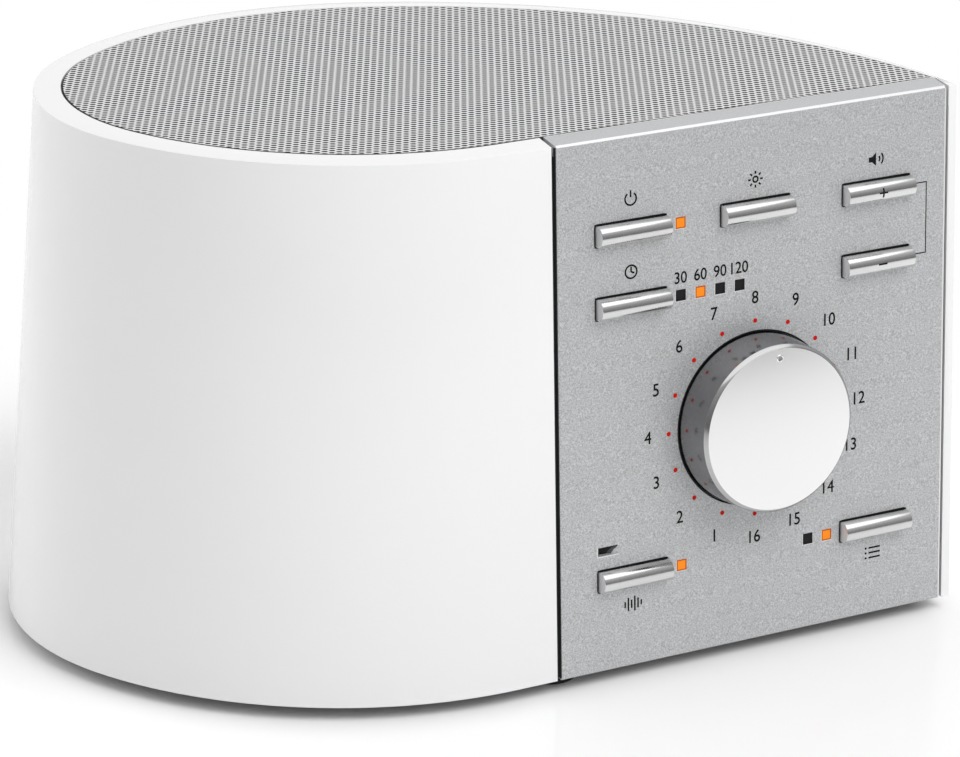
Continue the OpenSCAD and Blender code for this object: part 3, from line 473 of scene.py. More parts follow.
# Finishes with a plain grain: colour, roughness, share of metal, size and depth of the grain in
# millimetres, tint, and what else differs from the others. A word in place of a value names one
# of the finish settings.
DULL = {"Specular_IOR_Level": 0.15}
PRINT = {"Specular_IOR_Level": 0.08}
GRAINS = {
    "silver_button": ("button_colour", 0.15, 1, 0.3, 0.005, 0.05,
                      {"stretch": (0.3, 1, 1), "rough_spread": 0.04}),
    # Paler, less metallic copy of the bar's metal for its end faces: painted light
    "button_end": ((0.85, 0.85, 0.855), 0.45, 0.9, 0.3, 0.005, 0.05, {}),
    "grille_metal": ("grille_colour", 0.45, 0.2, 0.4, 0.01, 0.04, {}),
    "hole_shade": ((0.07, 0.07, 0.072), 0.6, 0, 0.3, 0.01, 0.15, {}),
    "black_plastic": ((0.04, 0.04, 0.041), 0.5, 0, 0.3, 0.03, 0.2, {}),
    "black_rubber": ((0.012, 0.012, 0.013), 0.7, 0, 0.6, 0.02, 0.2, {}),
    # Painted shade: near-black laid in the gaps round the buttons and the dial and in the
    # microphone slot
    "slot_black": ((0.006, 0.006, 0.006), 0.8, 0, 0.4, 0.01, 0.2, {}),
    "scrim_cloth": ((0.035, 0.035, 0.036), 0.9, 0, 0.35, 0.08, 0.3, {}),
    "fibreboard": ((0.1, 0.07, 0.045), 0.85, 0, 1.2, 0.05, 0.3, {"stretch": (1, 0.3, 1)}),
    "steel": ((0.6, 0.61, 0.62), 0.28, 1, 0.8, 0.01, 0.06, {}),
    "basket_paint": ((0.03, 0.03, 0.032), 0.35, 0, 0.5, 0.03, 0.2, {}),
    "cone_paper": ((0.03, 0.03, 0.032), 0.9, 0, 0.5, 0.08, 0.35, {}),
    "spider_cloth": ((0.5, 0.33, 0.12), 0.9, 0, 0.4, 0.08, 0.25, {}),
    "copper_wire": ((0.7, 0.32, 0.16), 0.3, 1, 0.25, 0.05, 0.1, {"stretch": (0.1, 0.1, 1)}),
    "ferrite": ((0.03, 0.03, 0.033), 0.65, 0, 0.5, 0.04, 0.3, {}),
    "lens_dark": ((0.012, 0.012, 0.013), 0.4, 0, 1.0, 0.005, 0.2, DULL),
    # Darker orange round the lit windows: painted shade at their edges
    "lens_rim": ((0.45, 0.085, 0.012), 0.4, 0, 0.6, 0.005, 0.1, DULL),
    # Pale strips laid along edges: painted highlight
    "cut_edge": ((0.8, 0.8, 0.81), 0.35, 0.4, 0.4, 0.005, 0.05, {}),
    "led_body": ((0.85, 0.78, 0.5), 0.4, 0, 0.5, 0.01, 0.05, {}),
    "board_green": ((0.01, 0.14, 0.05), 0.4, 0, 2.0, 0.02, 0.25, {}),
    "chip_black": ((0.015, 0.015, 0.017), 0.6, 0, 0.3, 0.02, 0.2, {}),
    "ribbon_grey": ((0.55, 0.55, 0.57), 0.5, 0, 1.0, 0.05, 0.1, {"stretch": (1, 0.02, 0.02)}),
    "wire_red": ((0.5, 0.02, 0.015), 0.45, 0, 0.8, 0.01, 0.08, {}),
    "capacitor_sleeve": ((0.015, 0.03, 0.16), 0.3, 0, 1.5, 0.01, 0.1, {}),
    "black_anodised": ((0.02, 0.02, 0.022), 0.4, 0.8, 0.4, 0.02, 0.2,
                       {"stretch": (1, 0.1, 0.1)}),
    "print_black": ((0.01, 0.01, 0.01), 0.6, 0, 0.3, 0.005, 0.15, PRINT),
    "print_red": ("dot_colour", 0.6, 0, 0.3, 0.005, 0.15, PRINT),
    # Gloss white with a barely visible waviness
    "white_shell": ("shell_colour", "shell_roughness", 0, 30, 0.02, 0.006,
                    {"rough_spread": 0.02, "detail": 1.0, "Coat_Weight": 0.35,
                     "Coat_Roughness": 0.08, "Specular_IOR_Level": 0.5}),
}
# Spun metal in three shades of one finish: the bright face, a mid-grey bevel and a dark side and
# dimple, painted shade standing in for their dimmer reflections
SPUN = {"dial_metal": "dial_side_colour", "dial_face": "dial_colour",
        "dial_bevel": (0.47, 0.47, 0.475)}
SPECIAL = {"silver_paint": silver_paint, "lens_orange": lit_lens}
FINISHES = {}


def make_finish(name):
    if name in SPECIAL:
        return SPECIAL[name](name)
    look = bpy.context.scene.machine_finishes
    values = [getattr(look, value) if isinstance(value, str) else value
              for value in ([SPUN[name]] if name in SPUN else GRAINS[name])]
    if name in SPUN:
        return spun_metal(name, *values)
    *values, settings = values
    return grain(name, *values, **settings)


def finish(name):
    """The named finish, made on first use."""
    if name not in FINISHES:
        FINISHES[name] = make_finish(name)
    return FINISHES[name]


# ---------------------------------------------------------------- settings
class MachineFinishes(bpy.types.PropertyGroup):
    """Colours and surface values of the visible finishes."""
    shell_colour: FloatVectorProperty(
        name="Shell", description="Colour of the gloss shell", subtype="COLOR",
        default=(0.84, 0.84, 0.847), min=0, max=1)
    shell_roughness: FloatProperty(
        name="Shell roughness", description="Roughness of the gloss shell", default=0.22,
        min=0, max=1)
    panel_colour: FloatVectorProperty(
        name="Panel", description="Colour of the silver paint", subtype="COLOR",
        default=(0.508, 0.513, 0.521), min=0, max=1)
    panel_metal: FloatProperty(
        name="Panel metal", description="Share of metal in the silver paint", default=0.35,
        min=0, max=1)
    flake_size: FloatProperty(
        name="Flakes", description="Size of the metal flakes in metres", default=0.00035,
        min=0.0001, max=0.002, precision=5, unit="LENGTH")
    flake_contrast: FloatProperty(
        name="Flake contrast", description="Difference in brightness between the flakes",
        default=0.42, min=0, max=1)
    button_colour: FloatVectorProperty(
        name="Buttons", description="Colour of the metal bar buttons", subtype="COLOR",
        default=(0.7, 0.7, 0.7), min=0, max=1)
    dial_colour: FloatVectorProperty(
        name="Dial face", description="Colour of the spun dial's face", subtype="COLOR",
        default=(0.96, 0.96, 0.96), min=0, max=1)
    # Painted shade: the dial's side and dimple get a darker copy of the face's metal
    dial_side_colour: FloatVectorProperty(
        name="Dial side", description="Colour of the dial's side", subtype="COLOR",
        default=(0.31, 0.31, 0.315), min=0, max=1)
    dial_roughness: FloatProperty(
        name="Dial roughness", description="Roughness of the spun dial", default=0.16,
        min=0, max=1)
    grille_colour: FloatVectorProperty(
        name="Grille", description="Colour of the perforated grille", subtype="COLOR",
        default=(0.66, 0.66, 0.665), min=0, max=1)
    lens_colour: FloatVectorProperty(
        name="Lit windows", description="Colour of the lit windows", subtype="COLOR",
        default=(1.0, 0.268, 0.01), min=0, max=1)
    lens_glow: FloatProperty(
        name="Window glow", description="Brightness of the lit windows", default=0.8,
        min=0, max=5)
    dot_colour: FloatVectorProperty(
        name="Dots", description="Colour of the dots round the dial", subtype="COLOR",
        default=(0.56, 0.012, 0.006), min=0, max=1)


class MachineSizes(bpy.types.PropertyGroup):
    """Sizes of the details that only the dressed model has."""
    hole_pitch: FloatProperty(
        name="Hole pitch", description="Distance between holes along a column of the grille",
        default=0.001583, min=0.001, max=0.004, precision=6, unit="LENGTH")
    column_pitch: FloatProperty(
        name="Column pitch", description="Distance between the columns of holes",
        default=0.001585, min=0.001, max=0.004, precision=6, unit="LENGTH")
    hole_width: FloatProperty(
        name="Hole width", description="Width of a grille hole across its column",
        default=0.00148, min=0.0004, max=0.002, precision=5, unit="LENGTH")
    hole_length: FloatProperty(
        name="Hole length", description="Length of a grille hole along its column",
        default=0.00084, min=0.0004, max=0.002, precision=5, unit="LENGTH")
    hole_angle: FloatProperty(
        name="Hole angle", description="Turn of the grille's hole columns from the body's depth",
        default=math.radians(29), subtype="ANGLE")
    edge_round: FloatProperty(
        name="Edge round", description="Rounding of the shell's edges", default=0.00035,
        min=0.0001, max=0.002, precision=5, unit="LENGTH")
    dome: FloatProperty(
        name="Dial dome", description="Height of the dial face's dome", default=0.0005,
        min=0, max=0.002, precision=5, unit="LENGTH")
    letter_height: FloatProperty(
        name="Figure height", description="Height of the printed figures", default=0.0029,
        min=0.001, max=0.006, precision=5, unit="LENGTH")
    dot_radius: FloatProperty(
        name="Dot radius", description="Radius of the dots round the dial", default=0.00055,
        min=0.0002, max=0.002, precision=5, unit="LENGTH")
    dial_numbers: IntProperty(
        name="Dial positions", description="Number of positions round the dial", default=16,
        min=4, max=24)


class MachineStudio(bpy.types.PropertyGroup):
    """Camera, lamp and surroundings."""
    camera_place: FloatVectorProperty(
        name="Camera", description="Place of the camera", subtype="TRANSLATION", unit="LENGTH",
        default=(-0.47532, -0.85137, 0.41643))
    camera_turn: FloatVectorProperty(
        name="Camera direction", description="Heading, downward tilt and roll of the camera",
        subtype="EULER", default=tuple(math.radians(a) for a in (29.733, 20.45, 0.969)))
    camera_lens: FloatProperty(
        name="Lens", description="Focal length in millimetres", default=166.5, min=10, max=400)
    sky_level: FloatProperty(
        name="Surroundings", description="Brightness of the surroundings on matt surfaces",
        default=0.53, min=0, max=3)
    front_share: FloatProperty(
        name="Front share", description="How much brighter the surroundings are in front than "
        "at the sides", default=0.4, min=0, max=1)
    edge_glow: FloatProperty(
        name="Edge glow", description="Extra brightness of the surroundings behind on the left",
        default=5.2, min=0, max=10)
    overhead: FloatProperty(
        name="Overhead", description="How much brighter the surroundings are straight above",
        default=1.65, min=1, max=5)
    key_power: FloatProperty(
        name="Key lamp", description="Power of the main soft lamp in watts", default=11.0, min=0,
        max=500)


# ---------------------------------------------------------------- studio
AHEAD = Vector((0.3, -0.954, 0)).normalized()
BEHIND_LEFT = Vector((-0.466, 1, 0.1)).normalized()
LAMP_PLACE, LAMP_TARGET = (0.36, -0.95, 1.2), (0, 0, 0.06)
LAMP_SIZE = 1.1, 0.85


def make_lamp(studio):
    data = bpy.data.lights.new("key_lamp", "AREA")
    data.shape = "RECTANGLE"
    data.size, data.size_y = LAMP_SIZE
    data.energy = studio.key_power
    lamp = show("key_lamp", data)
    lamp.location = LAMP_PLACE
    way = Vector(LAMP_TARGET) - lamp.location
    lamp.rotation_euler = way.to_track_quat("-Z", "Y").to_euler()
    lamp.visible_glossy = False


def make_camera(studio):
    heading, tilt, roll = studio.camera_turn
    forward = Vector((math.sin(heading) * math.cos(tilt), math.cos(heading) * math.cos(tilt),
                      -math.sin(tilt)))
    level = Vector((math.cos(heading), -math.sin(heading), 0))
    right = math.cos(roll) * level + math.sin(roll) * level.cross(forward)
    data = bpy.data.cameras.new("camera")
    data.sensor_width = 36
    data.lens = studio.camera_lens
    data.clip_start, data.clip_end = 0.05, 20
    camera = show("camera", data)
    turn = Matrix((right, right.cross(forward), -forward)).transposed().to_4x4()
    camera.matrix_world = Matrix.Translation(studio.camera_place) @ turn
    bpy.context.scene.camera = camera


def make_surroundings(studio):
    """White to the eye; to shiny surfaces a studio that darkens low down in front."""
    world = bpy.data.worlds.new("studio")
    bpy.context.scene.world = world
    world.use_nodes = True
    tree = world.node_tree
    tree.nodes.clear()
    way = add_node(tree, "TexCoord").outputs["Generated"]
    up = along(tree, way, "Z")
    height = add_node(tree, "ValToRGB", up)
    stops = height.color_ramp.elements
    stops[0].color = grey(0.14)
    for position, level in ((0.3, 0.2), (0.68, 0.36), (0.75, 1.0)):
        stops.new(position).color = grey(level)
    behind = ramped(tree, along(tree, way, "Y"), (-0.15, 0.5), (0, 1))
    room = mixed(tree, behind, height.outputs["Color"], grey(0.6))
    mirror = add_node(tree, "Background", room, Strength=1.6)
    low, high = (studio.sky_level * (1 + side * studio.front_share) for side in (-1, 1))
    sky = ramped(tree, measured(tree, "DOT_PRODUCT", way, AHEAD), (-1, 1), (low, high))
    glow = ramped(tree, measured(tree, "DOT_PRODUCT", way, BEHIND_LEFT), (0.85, 1),
                  (0, studio.edge_glow), "SMOOTHSTEP")
    overhead = ramped(tree, up, (0.6, 1), (1, studio.overhead), "SMOOTHSTEP")
    level = combined(tree, "MULTIPLY", combined(tree, "ADD", sky, glow), overhead)
    matt = add_node(tree, "Background", Color=grey(1), Strength=level)
    white = add_node(tree, "Background", Color=grey(1))
    path = add_node(tree, "LightPath").outputs
    shiny = combined(tree, "MAXIMUM", path["Is Glossy Ray"], path["Is Transmission Ray"])
    unseen = add_node(tree, "MixShader", shiny, matt.outputs[0], mirror.outputs[0])
    seen = add_node(tree, "MixShader", path["Is Camera Ray"], unseen.outputs[0],
                    white.outputs[0])
    add_node(tree, "OutputWorld", seen.outputs[0])


def floor_finish():
    """White polished floor, which fades to plain white away from the object and which shiny
    surfaces see fade into the dark front of the room."""
    material, tree, shader = base_finish("studio_floor", (0.985, 0.985, 0.985),
                                         Specular_IOR_Level=0.15)
    at = object_space(tree)
    adjust(tree, shader, Roughness=ramped(tree, cloudy(tree, at, 25, 2.0), (0, 1), (0.08, 0.12)))
    path = add_node(tree, "LightPath").outputs
    front = ramped(tree, along(tree, at, "Y"), (-0.2, -0.9), (0, 0.88), "SMOOTHSTEP")
    away = ramped(tree, measured(tree, "DISTANCE", at, (0, 0, 0)), (0.12, 0.2), (0, 1),
                  "SMOOTHSTEP")
    surface = shader.outputs["BSDF"]
    for amount, ray, level in ((front, "Is Glossy Ray", 0.12), (away, "Is Camera Ray", 1)):
        light = add_node(tree, "Emission", Color=grey(level))
        share = combined(tree, "MULTIPLY", amount, path[ray])
        surface = add_node(tree, "MixShader", share, surface, light.outputs[0]).outputs[0]
    adjust(tree, tree.nodes["Material Output"], Surface=surface)
    return material


class MACHINE_OT_studio(bpy.types.Operator):
    """Adds the camera, the lamp, the floor and the surroundings"""
    bl_idname = "machine.studio"
    bl_label = "Studio"

    def execute(self, context):
        studio = context.scene.machine_studio
        make_camera(studio)
        make_surroundings(studio)
        make_lamp(studio)
        bm = bmesh.new()
        bmesh.ops.create_grid(bm, x_segments=8, y_segments=8, size=6)
        floor = show("floor", to_mesh(bm, "floor"))
        floor.data.materials.append(floor_finish())
        context.scene.view_settings.view_transform = "Standard"
        return {"FINISHED"}


# ---------------------------------------------------------------- pieces
class MACHINE_OT_finishes(bpy.types.Operator):
    """Gives each solid of the model its finish"""
    bl_idname = "machine.finishes"
    bl_label = "Finishes"

    def execute(self, context):
        for part in RECORD["subparts"]:
            materials = frame["nodes"][part["node"]].data.materials
            materials.clear()
            materials.append(finish(part["material_slot"]))
        return {"FINISHED"}


class MACHINE_OT_shell(bpy.types.Operator):
    """Adds the gloss shell with its rim, rounded edges and the opening for the sockets"""
    bl_idname = "machine.shell"
    bl_label = "Shell"

    def execute(self, context):
        foot, pocket = FOOT_GAP - TOP_Z, RIM_RISE - GRILLE_SINK - GRILLE_T
        bm = bmesh.new()
        made = skin(bm, [
            wall_row(foot, SHELL_WALL), wall_row(foot), wall_row(0.0),
            grille_row(RIM_RISE, -SLACK), grille_row(pocket, -SLACK),
            grille_row(pocket, LEDGE_W), grille_row(-ROOF_WALL, LEDGE_W),
            wall_row(-ROOF_WALL - RIM_RISE, SHELL_WALL),
        ])
        bmesh.ops.bridge_loops(bm, edges=row_edges(bm, made[-1], made[0]))
        bmesh.ops.remove_doubles(bm, verts=bm.verts, dist=1e-4)
        for end in (0, -1):
            loop = [row[end] for row in made if row[end].is_valid]
            bmesh.ops.contextual_create(bm, geom=row_edges(bm, loop, closed=True))
        recalculate(bm)
        upright = [bm.edges.get((made[row][end], made[row + 1][end]))
                   for row, end in ((1, -1), (1, 0), (2, 0), (2, -1))]
        bevel(bm, row_edges(bm, made[2], made[1], made[3]) + upright,
              context.scene.machine_sizes.edge_round / MM)
        to_row_frame(bm)
        shell = finish_piece(bm, "shell", "case", "white_shell", 25, ["outer_shell"])
        self.cut_socket_opening(shell)
        return {"FINISHED"}

    def cut_socket_opening(self, shell):
        """Cuts through the wall round the middle of the socket plate, which shows its edges."""
        low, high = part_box("socket_plate")
        gap = Vector((0.0002, 0.02, 0.0002))
        bm = bmesh.new()
        box(bm, low + Vector((0.002, 0, 0.001)) - gap, high - Vector((0.002, 0, 0.002)) + gap)
        cut(shell, bm)


class MACHINE_OT_base(bpy.types.Operator):
    """Adds the base with its raised border cut back to the level of the shell's lower edge, so
    that the body stands clear of the table"""
    bl_idname = "machine.base"
    bl_label = "Base"

    def execute(self, context):
        bm = bmesh.new()
        bm.from_mesh(frame["nodes"]["base_plate"].data)
        bmesh.ops.remove_doubles(bm, verts=bm.verts, dist=1e-6)
        base = finish_piece(bm, "base", "case", "black_plastic", 30, ["base_plate"])
        # The cut goes from under the border to just under the shell's edge, and past its outside
        below, level, outside = 0.5 - TOP_Z, FOOT_GAP - 0.2 - TOP_Z, -3
        bm = bmesh.new()
        made = skin(bm, [self.row(z, inset) for z, inset in (
            (below, BASE_STEP), (below, outside), (level, outside), (level, BASE_STEP))], True)
        bmesh.ops.bridge_loops(bm, edges=row_edges(bm, made[-1], made[0], closed=True))
        recalculate(bm)
        to_row_frame(bm)
        cut(base, bm)
        shade(base.data, 30)
        return {"FINISHED"}

    def row(self, z, inset):
        """Closed row of points inside the shell's lower edge, at height z below the top."""
        grow = (TOP_Z - FOOT_GAP) * math.tan(LEAN)
        corner = (CORNER_X - inset, inset - grow)
        return [p.to_3d() + Vector((0, 0, z)) for p in outline(grow - inset, corner, stop_y=1.0)]


class MACHINE_OT_grille(bpy.types.Operator):
    """Adds the perforated plate with painted shade on its cut edge and on the walls of its holes,
    the holes in staggered columns cut off at the rim, and the dark cloth behind them"""
    bl_idname = "machine.grille"
    bl_label = "Grille"

    def execute(self, context):
        sizes = context.scene.machine_sizes
        edge = [p.xy for p in grille_row(0.0, GRILLE_GAP, to_corner=False)[1:]]
        sides = [(a, b) for a, b in neighbours(edge, True) if (b - a).length > 1e-6]
        inner, border = self.hole_places(sizes, sides)
        cell = self.cell(sizes)
        bm = bmesh.new()
        lay_down(bm, cell, border)
        for a, b in sides:
            bmesh.ops.bisect_plane(bm, geom=bm.verts[:] + bm.edges[:] + bm.faces[:], dist=1e-5,
                                   plane_co=a.to_3d(), plane_no=side_normal(a, b).to_3d(),
                                   clear_outer=True)
        lay_down(bm, cell, inner)
        bpy.data.meshes.remove(cell)
        bmesh.ops.remove_doubles(bm, verts=bm.verts, dist=0.01)
        self.raise_to_rim(bm)
        plate = finish_piece(bm, "grille", "case", "grille_metal", 35, ["speaker_grille"])
        # The walls of the holes take hole_shade: painted shade
        plate.data.materials.append(finish("hole_shade"))
        # The plate's cut edge in hole_shade: painted shade
        bm = bmesh.new()
        skin(bm, [[(p.x, p.y, z) for p in edge] for z in (0, -SHEET_T)], closed=True)
        recalculate(bm)
        self.raise_to_rim(bm)
        finish_piece(bm, "grille_edge", "case", "hole_shade")
        bm = bmesh.new()
        cloth = [p.xy for p in grille_row(0.0, 0.0, to_corner=False)[1:]]
        bmesh.ops.contextual_create(bm, geom=chain(bm, [(p.x, p.y, -SHEET_T) for p in cloth], True))
        bmesh.ops.triangulate(bm, faces=bm.faces)
        self.raise_to_rim(bm)
        finish_piece(bm, "grille_cloth", "case", "scrim_cloth")
        return {"FINISHED"}

    def raise_to_rim(self, bm):
        """Lifts a flat piece to just under the level of the rim's lip."""
        place(bm, Matrix.Translation((0, 0, RIM_RISE - 0.02)))
        to_row_frame(bm)

    def hole_places(self, sizes, sides):
        """Places of the cells that lie inside the plate's sides, and of those that cross them."""
        pitch, step = sizes.hole_pitch / MM, sizes.column_pitch / MM
        along = Vector((math.sin(sizes.hole_angle), math.cos(sizes.hole_angle)))
        across = Vector((along.y, -along.x))
        planes = [(a, side_normal(a, b)) for a, b in sides]
        low = Vector([min(a[i] for a, _ in sides) for i in range(2)])
        high = Vector([max(a[i] for a, _ in sides) for i in range(2)])
        middle = (low + high) / 2
        reach = int((high - low).length / 2 / min(pitch, step)) + 2
        inner, border = [], []
        for column in range(-reach, reach + 1):
            for row in range(-reach, reach + 1):
                at = middle + across * column * step + along * (row + column % 2 / 2) * pitch
                if any(not low[i] - pitch < at[i] < high[i] + pitch for i in range(2)):
                    continue
                depth = min((a - at).dot(normal) for a, normal in planes)
                if depth > step * 0.7:
                    inner.append(at)
                elif depth > -step * 0.7:
                    border.append(at)
        return inner, border

    def cell(self, sizes):
        """One six-sided cell of the plate with its hole, in the turn of the columns."""
        pitch, step, width, length = (v / MM for v in (
            sizes.hole_pitch, sizes.column_pitch, sizes.hole_width, sizes.hole_length))
        flat = math.sqrt(3)     # a six-sided ring of radius 1 measures this across its flats
        bm = bmesh.new()
        bmesh.ops.create_circle(bm, segments=6, radius=1)
        place(bm, Matrix.Rotation(math.pi / 6, 4, "Z"))
        lip, ring = bm.edges[:], bm.verts[:]
        rim = bmesh.ops.extrude_edge_only(bm, edges=lip)["geom"]
        bmesh.ops.scale(bm, vec=(step / 1.5, pitch / flat, 1), verts=verts_of(rim))
        bmesh.ops.scale(bm, vec=(width / 2, length / flat, 1), verts=ring)
        wall = bmesh.ops.extrude_edge_only(bm, edges=lip)["geom"]
        bmesh.ops.translate(bm, vec=(0, 0, -SHEET_T), verts=verts_of(wall))
        recalculate(bm)
        # The walls take the second finish, the holes' painted shade
        for face in wall:
            if isinstance(face, bmesh.types.BMFace):
                face.material_index = 1
        if next(f for f in bm.faces if not f.material_index).normal.z < 0:
            bmesh.ops.reverse_faces(bm, faces=bm.faces)
        place(bm, Matrix.Rotation(-sizes.hole_angle, 4, "Z"))
        return to_mesh(bm, "cell")


class MACHINE_OT_dial(bpy.types.Operator):
    """Adds the dial's side and pointer dimple in painted shade, its bright domed face with a bevel
    in painted half-shade, and a black ring of painted shade round its foot"""
    bl_idname = "machine.dial"
    bl_label = "Dial"

    def execute(self, context):
        dome = context.scene.machine_sizes.dome / MM
        shoulder = DIAL_H - dome
        side_top = shoulder - DIAL_BEVEL
        face_r = DIAL_FRONT_R - DIAL_BEVEL
        out = PANEL @ Matrix.Translation((MIDDLE_U, 0, -DIAL_V)) @ ON_FACE
        back = -DIAL_RECESS / 2
        inner_r = DIAL_FRONT_R - 1.6
        self.turned("dial_side", "dial_metal", out, "dial", ["dial_knob"], [
            (inner_r, side_top), (inner_r, back), (DIAL_BASE_R - 0.15, back),
            (DIAL_BASE_R, back + 0.15), (DIAL_FRONT_R + 0.02, side_top - 0.05),
            (DIAL_FRONT_R, side_top), (inner_r, side_top)])
        rounds = 14
        face = [(face_r * (1 - i / rounds), shoulder + dome * (1 - (1 - i / rounds) ** 2))
                for i in range(rounds + 1)]
        cap = self.turned("dial_cap", "dial_face", out, "dial", ["dial_face"], [
            (0, side_top - 0.3), (inner_r - 0.05, side_top - 0.3), (inner_r - 0.05, side_top),
            (DIAL_FRONT_R, side_top), (DIAL_FRONT_R - 0.05, side_top + 0.1),
            (face_r + 0.06, shoulder - 0.04), *face])
        # The bevel takes a mid-grey copy of the face's metal: painted half-shade
        cap.data.materials.append(finish("dial_bevel"))
        front = (PANEL.to_3x3() @ Vector((0, -1, 0))).normalized()
        for part in cap.data.polygons:
            if part.normal.dot(front) < 0.97:
                part.material_index = 1
        # Painted shade: a black ring in the gap round the dial's foot
        gap_r = DIAL_BASE_R + 0.5
        self.turned("dial_ring", "slot_black", out, "case", [], [
            (DIAL_BASE_R + 0.12, back), (DIAL_BASE_R + 0.12, -0.03), (gap_r - 0.02, -0.03),
            (gap_r - 0.02, back), (DIAL_BASE_R + 0.12, back)])
        at = out @ Matrix.Translation((0, POINTER_R, DIAL_H - dome * 0.78))
        self.turned("dial_pointer_rim", "dial_face", at, "dial", [], [
            (0.72 + 0.16 * math.cos(a), 0.02 + 0.13 * math.sin(a))
            for a in (math.tau * i / 12 for i in range(13))], 32)
        # The dimple's floor is in the dark side's metal: painted shade
        self.turned("dial_pointer", "dial_metal", at, "dial", [], [
            (0, 0.03), (0.35, 0.035), (0.66, 0.06), (0.66, -0.2), (0, -0.2)], 32)
        return {"FINISHED"}

    def turned(self, name, slot_name, matrix, body, replaces, profile, steps=128):
        bm = bmesh.new()
        lathe(bm, profile, steps)
        place(bm, matrix)
        return finish_piece(bm, name, body, slot_name, 20, replaces)


# Middles of the buttons on the panel
BUTTONS = {
    "power_button": (LEFT_U, ROW_POWER), "display_button": (MIDDLE_U, ROW_POWER),
    "volume_up_button": (RIGHT_U, ROW_POWER), "volume_down_button": (RIGHT_U, ROW_TIMER),
    "timer_button": (LEFT_U, ROW_TIMER), "adaptive_button": (LEFT_U, ROW_SELECT),
    "selection_button": (RIGHT_U, ROW_SELECT),
}


class MACHINE_OT_buttons(bpy.types.Operator):
    """Adds the half-round bar buttons, with ends in a paler copy of their metal as painted light,
    painted shade in the slots round them, and the volume signs
    """
    bl_idname = "machine.buttons"
    bl_label = "Buttons"

    def execute(self, context):
        for name, (u, v) in BUTTONS.items():
            at = PANEL @ Matrix.Translation((u, 0, -v))
            self.bar(name, at)
            self.slot_lip(name, at)
        self.sign("volume_up_button", plus=True)
        self.sign("volume_down_button", plus=False)
        return {"FINISHED"}

    def bar(self, name, at):
        half, back, steps = BUTTON_W / 2, 2.5, 28
        flange, front, rear, stem_r, stem_len = 1.2, 2.55, 3.55, 2.9, 4
        bm = bmesh.new()
        profile = [(-half, BAR_AXIS - BAR_R * math.sin(a), BAR_R * math.cos(a))
                   for a in (math.pi * i / steps for i in range(steps + 1))]
        profile += [(-half, back, -BAR_R), (-half, back, BAR_R)]
        face = bmesh.ops.contextual_create(bm, geom=chain(bm, profile, closed=True))["faces"]
        side = bmesh.ops.extrude_face_region(bm, geom=face)["geom"]
        bmesh.ops.translate(bm, verts=verts_of(side), vec=(BUTTON_W, 0, 0))
        recalculate(bm)
        ends = [e for e in bm.edges if all(abs(abs(v.co.x) - half) < 1e-5 for v in e.verts)
                and e.calc_face_angle(0) > 0.5 and max(v.co.y for v in e.verts) < back - 0.1]
        bevel(bm, ends, 0.35)
        box(bm, (-half - flange, front, -BAR_R - flange), (half + flange, rear, BAR_R + flange))
        stem = bmesh.ops.create_cone(bm, cap_ends=True, segments=32, radius1=stem_r,
                                     radius2=stem_r, depth=stem_len)["verts"]
        place(bm, Matrix.Translation((0, rear + stem_len / 2, 0)) @ ON_FACE, stem)
        # The end faces take the paler copy of the metal: painted light
        for cap in bm.faces:
            if abs(cap.normal.x) > 0.9 and cap.calc_center_median().y < 0:
                cap.material_index = 1
        place(bm, at)
        made = finish_piece(bm, name.replace("_button", "_bar"), name, "silver_button", 20, [name])
        made.data.materials.append(finish("button_end"))

    def slot_lip(self, name, at):
        """Painted shade of the slot: a black band with rounded corners, just proud of the panel's
        face, where the gap round the bar is in shade.
        """
        bm = bmesh.new()
        lip, reach, depth = 0.36, 0.08, 2.3
        outer = rounded_rect(BUTTON_W / 2 + lip, BAR_R + lip, 0.85, 5)
        inner = rounded_rect(BUTTON_W / 2 + reach, BAR_R + reach, 0.2, 5)
        skin(bm, [[(x, y, z) for x, z in points] for points, y in (
            (outer, -0.03), (inner, -0.03), (inner, depth))], closed=True)
        recalculate(bm)
        place(bm, at)
        finish_piece(bm, name.replace("_button", "_slot"), "case", "slot_black")

    def sign(self, name, plus):
        """Thin plus or minus sign that follows the bar's round front."""
        u, v = BUTTONS[name]
        bm = bmesh.new()
        thick, reach, proud = 0.2, 1.15, 0.03
        box(bm, (-reach, -BUTTON_OUT - proud, -thick), (reach, -BUTTON_OUT + 0.05, thick))
        if plus:
            steps, span, r = 10, reach / BAR_R, BAR_R + proud
            turns = [span * (2 * i / steps - 1) for i in range(steps + 1)]
            skin(bm, [[(x, BAR_AXIS - r * math.cos(a), r * math.sin(a)) for a in turns]
                      for x in (-thick, thick)])
        place(bm, PANEL @ Matrix.Translation((u, 0, -v)))
        finish_piece(bm, name + "_sign", name, "print_black")


# Middles of the windows on the panel
LIT_WINDOWS = (
    (LEFT_U + LENS_OFFSET, ROW_POWER), (LEFT_U + LENS_OFFSET + LENS_PITCH, ROW_TIMER),
    (LEFT_U + LENS_OFFSET, ROW_SELECT), (RIGHT_U - LENS_OFFSET, ROW_SELECT),
)
DARK_WINDOWS = (
    (LEFT_U + LENS_OFFSET, ROW_TIMER), (LEFT_U + LENS_OFFSET + 2 * LENS_PITCH, ROW_TIMER),
    (LEFT_U + LENS_OFFSET + 3 * LENS_PITCH, ROW_TIMER),
    (RIGHT_U - LENS_OFFSET - LENS_PITCH, ROW_SELECT),
)


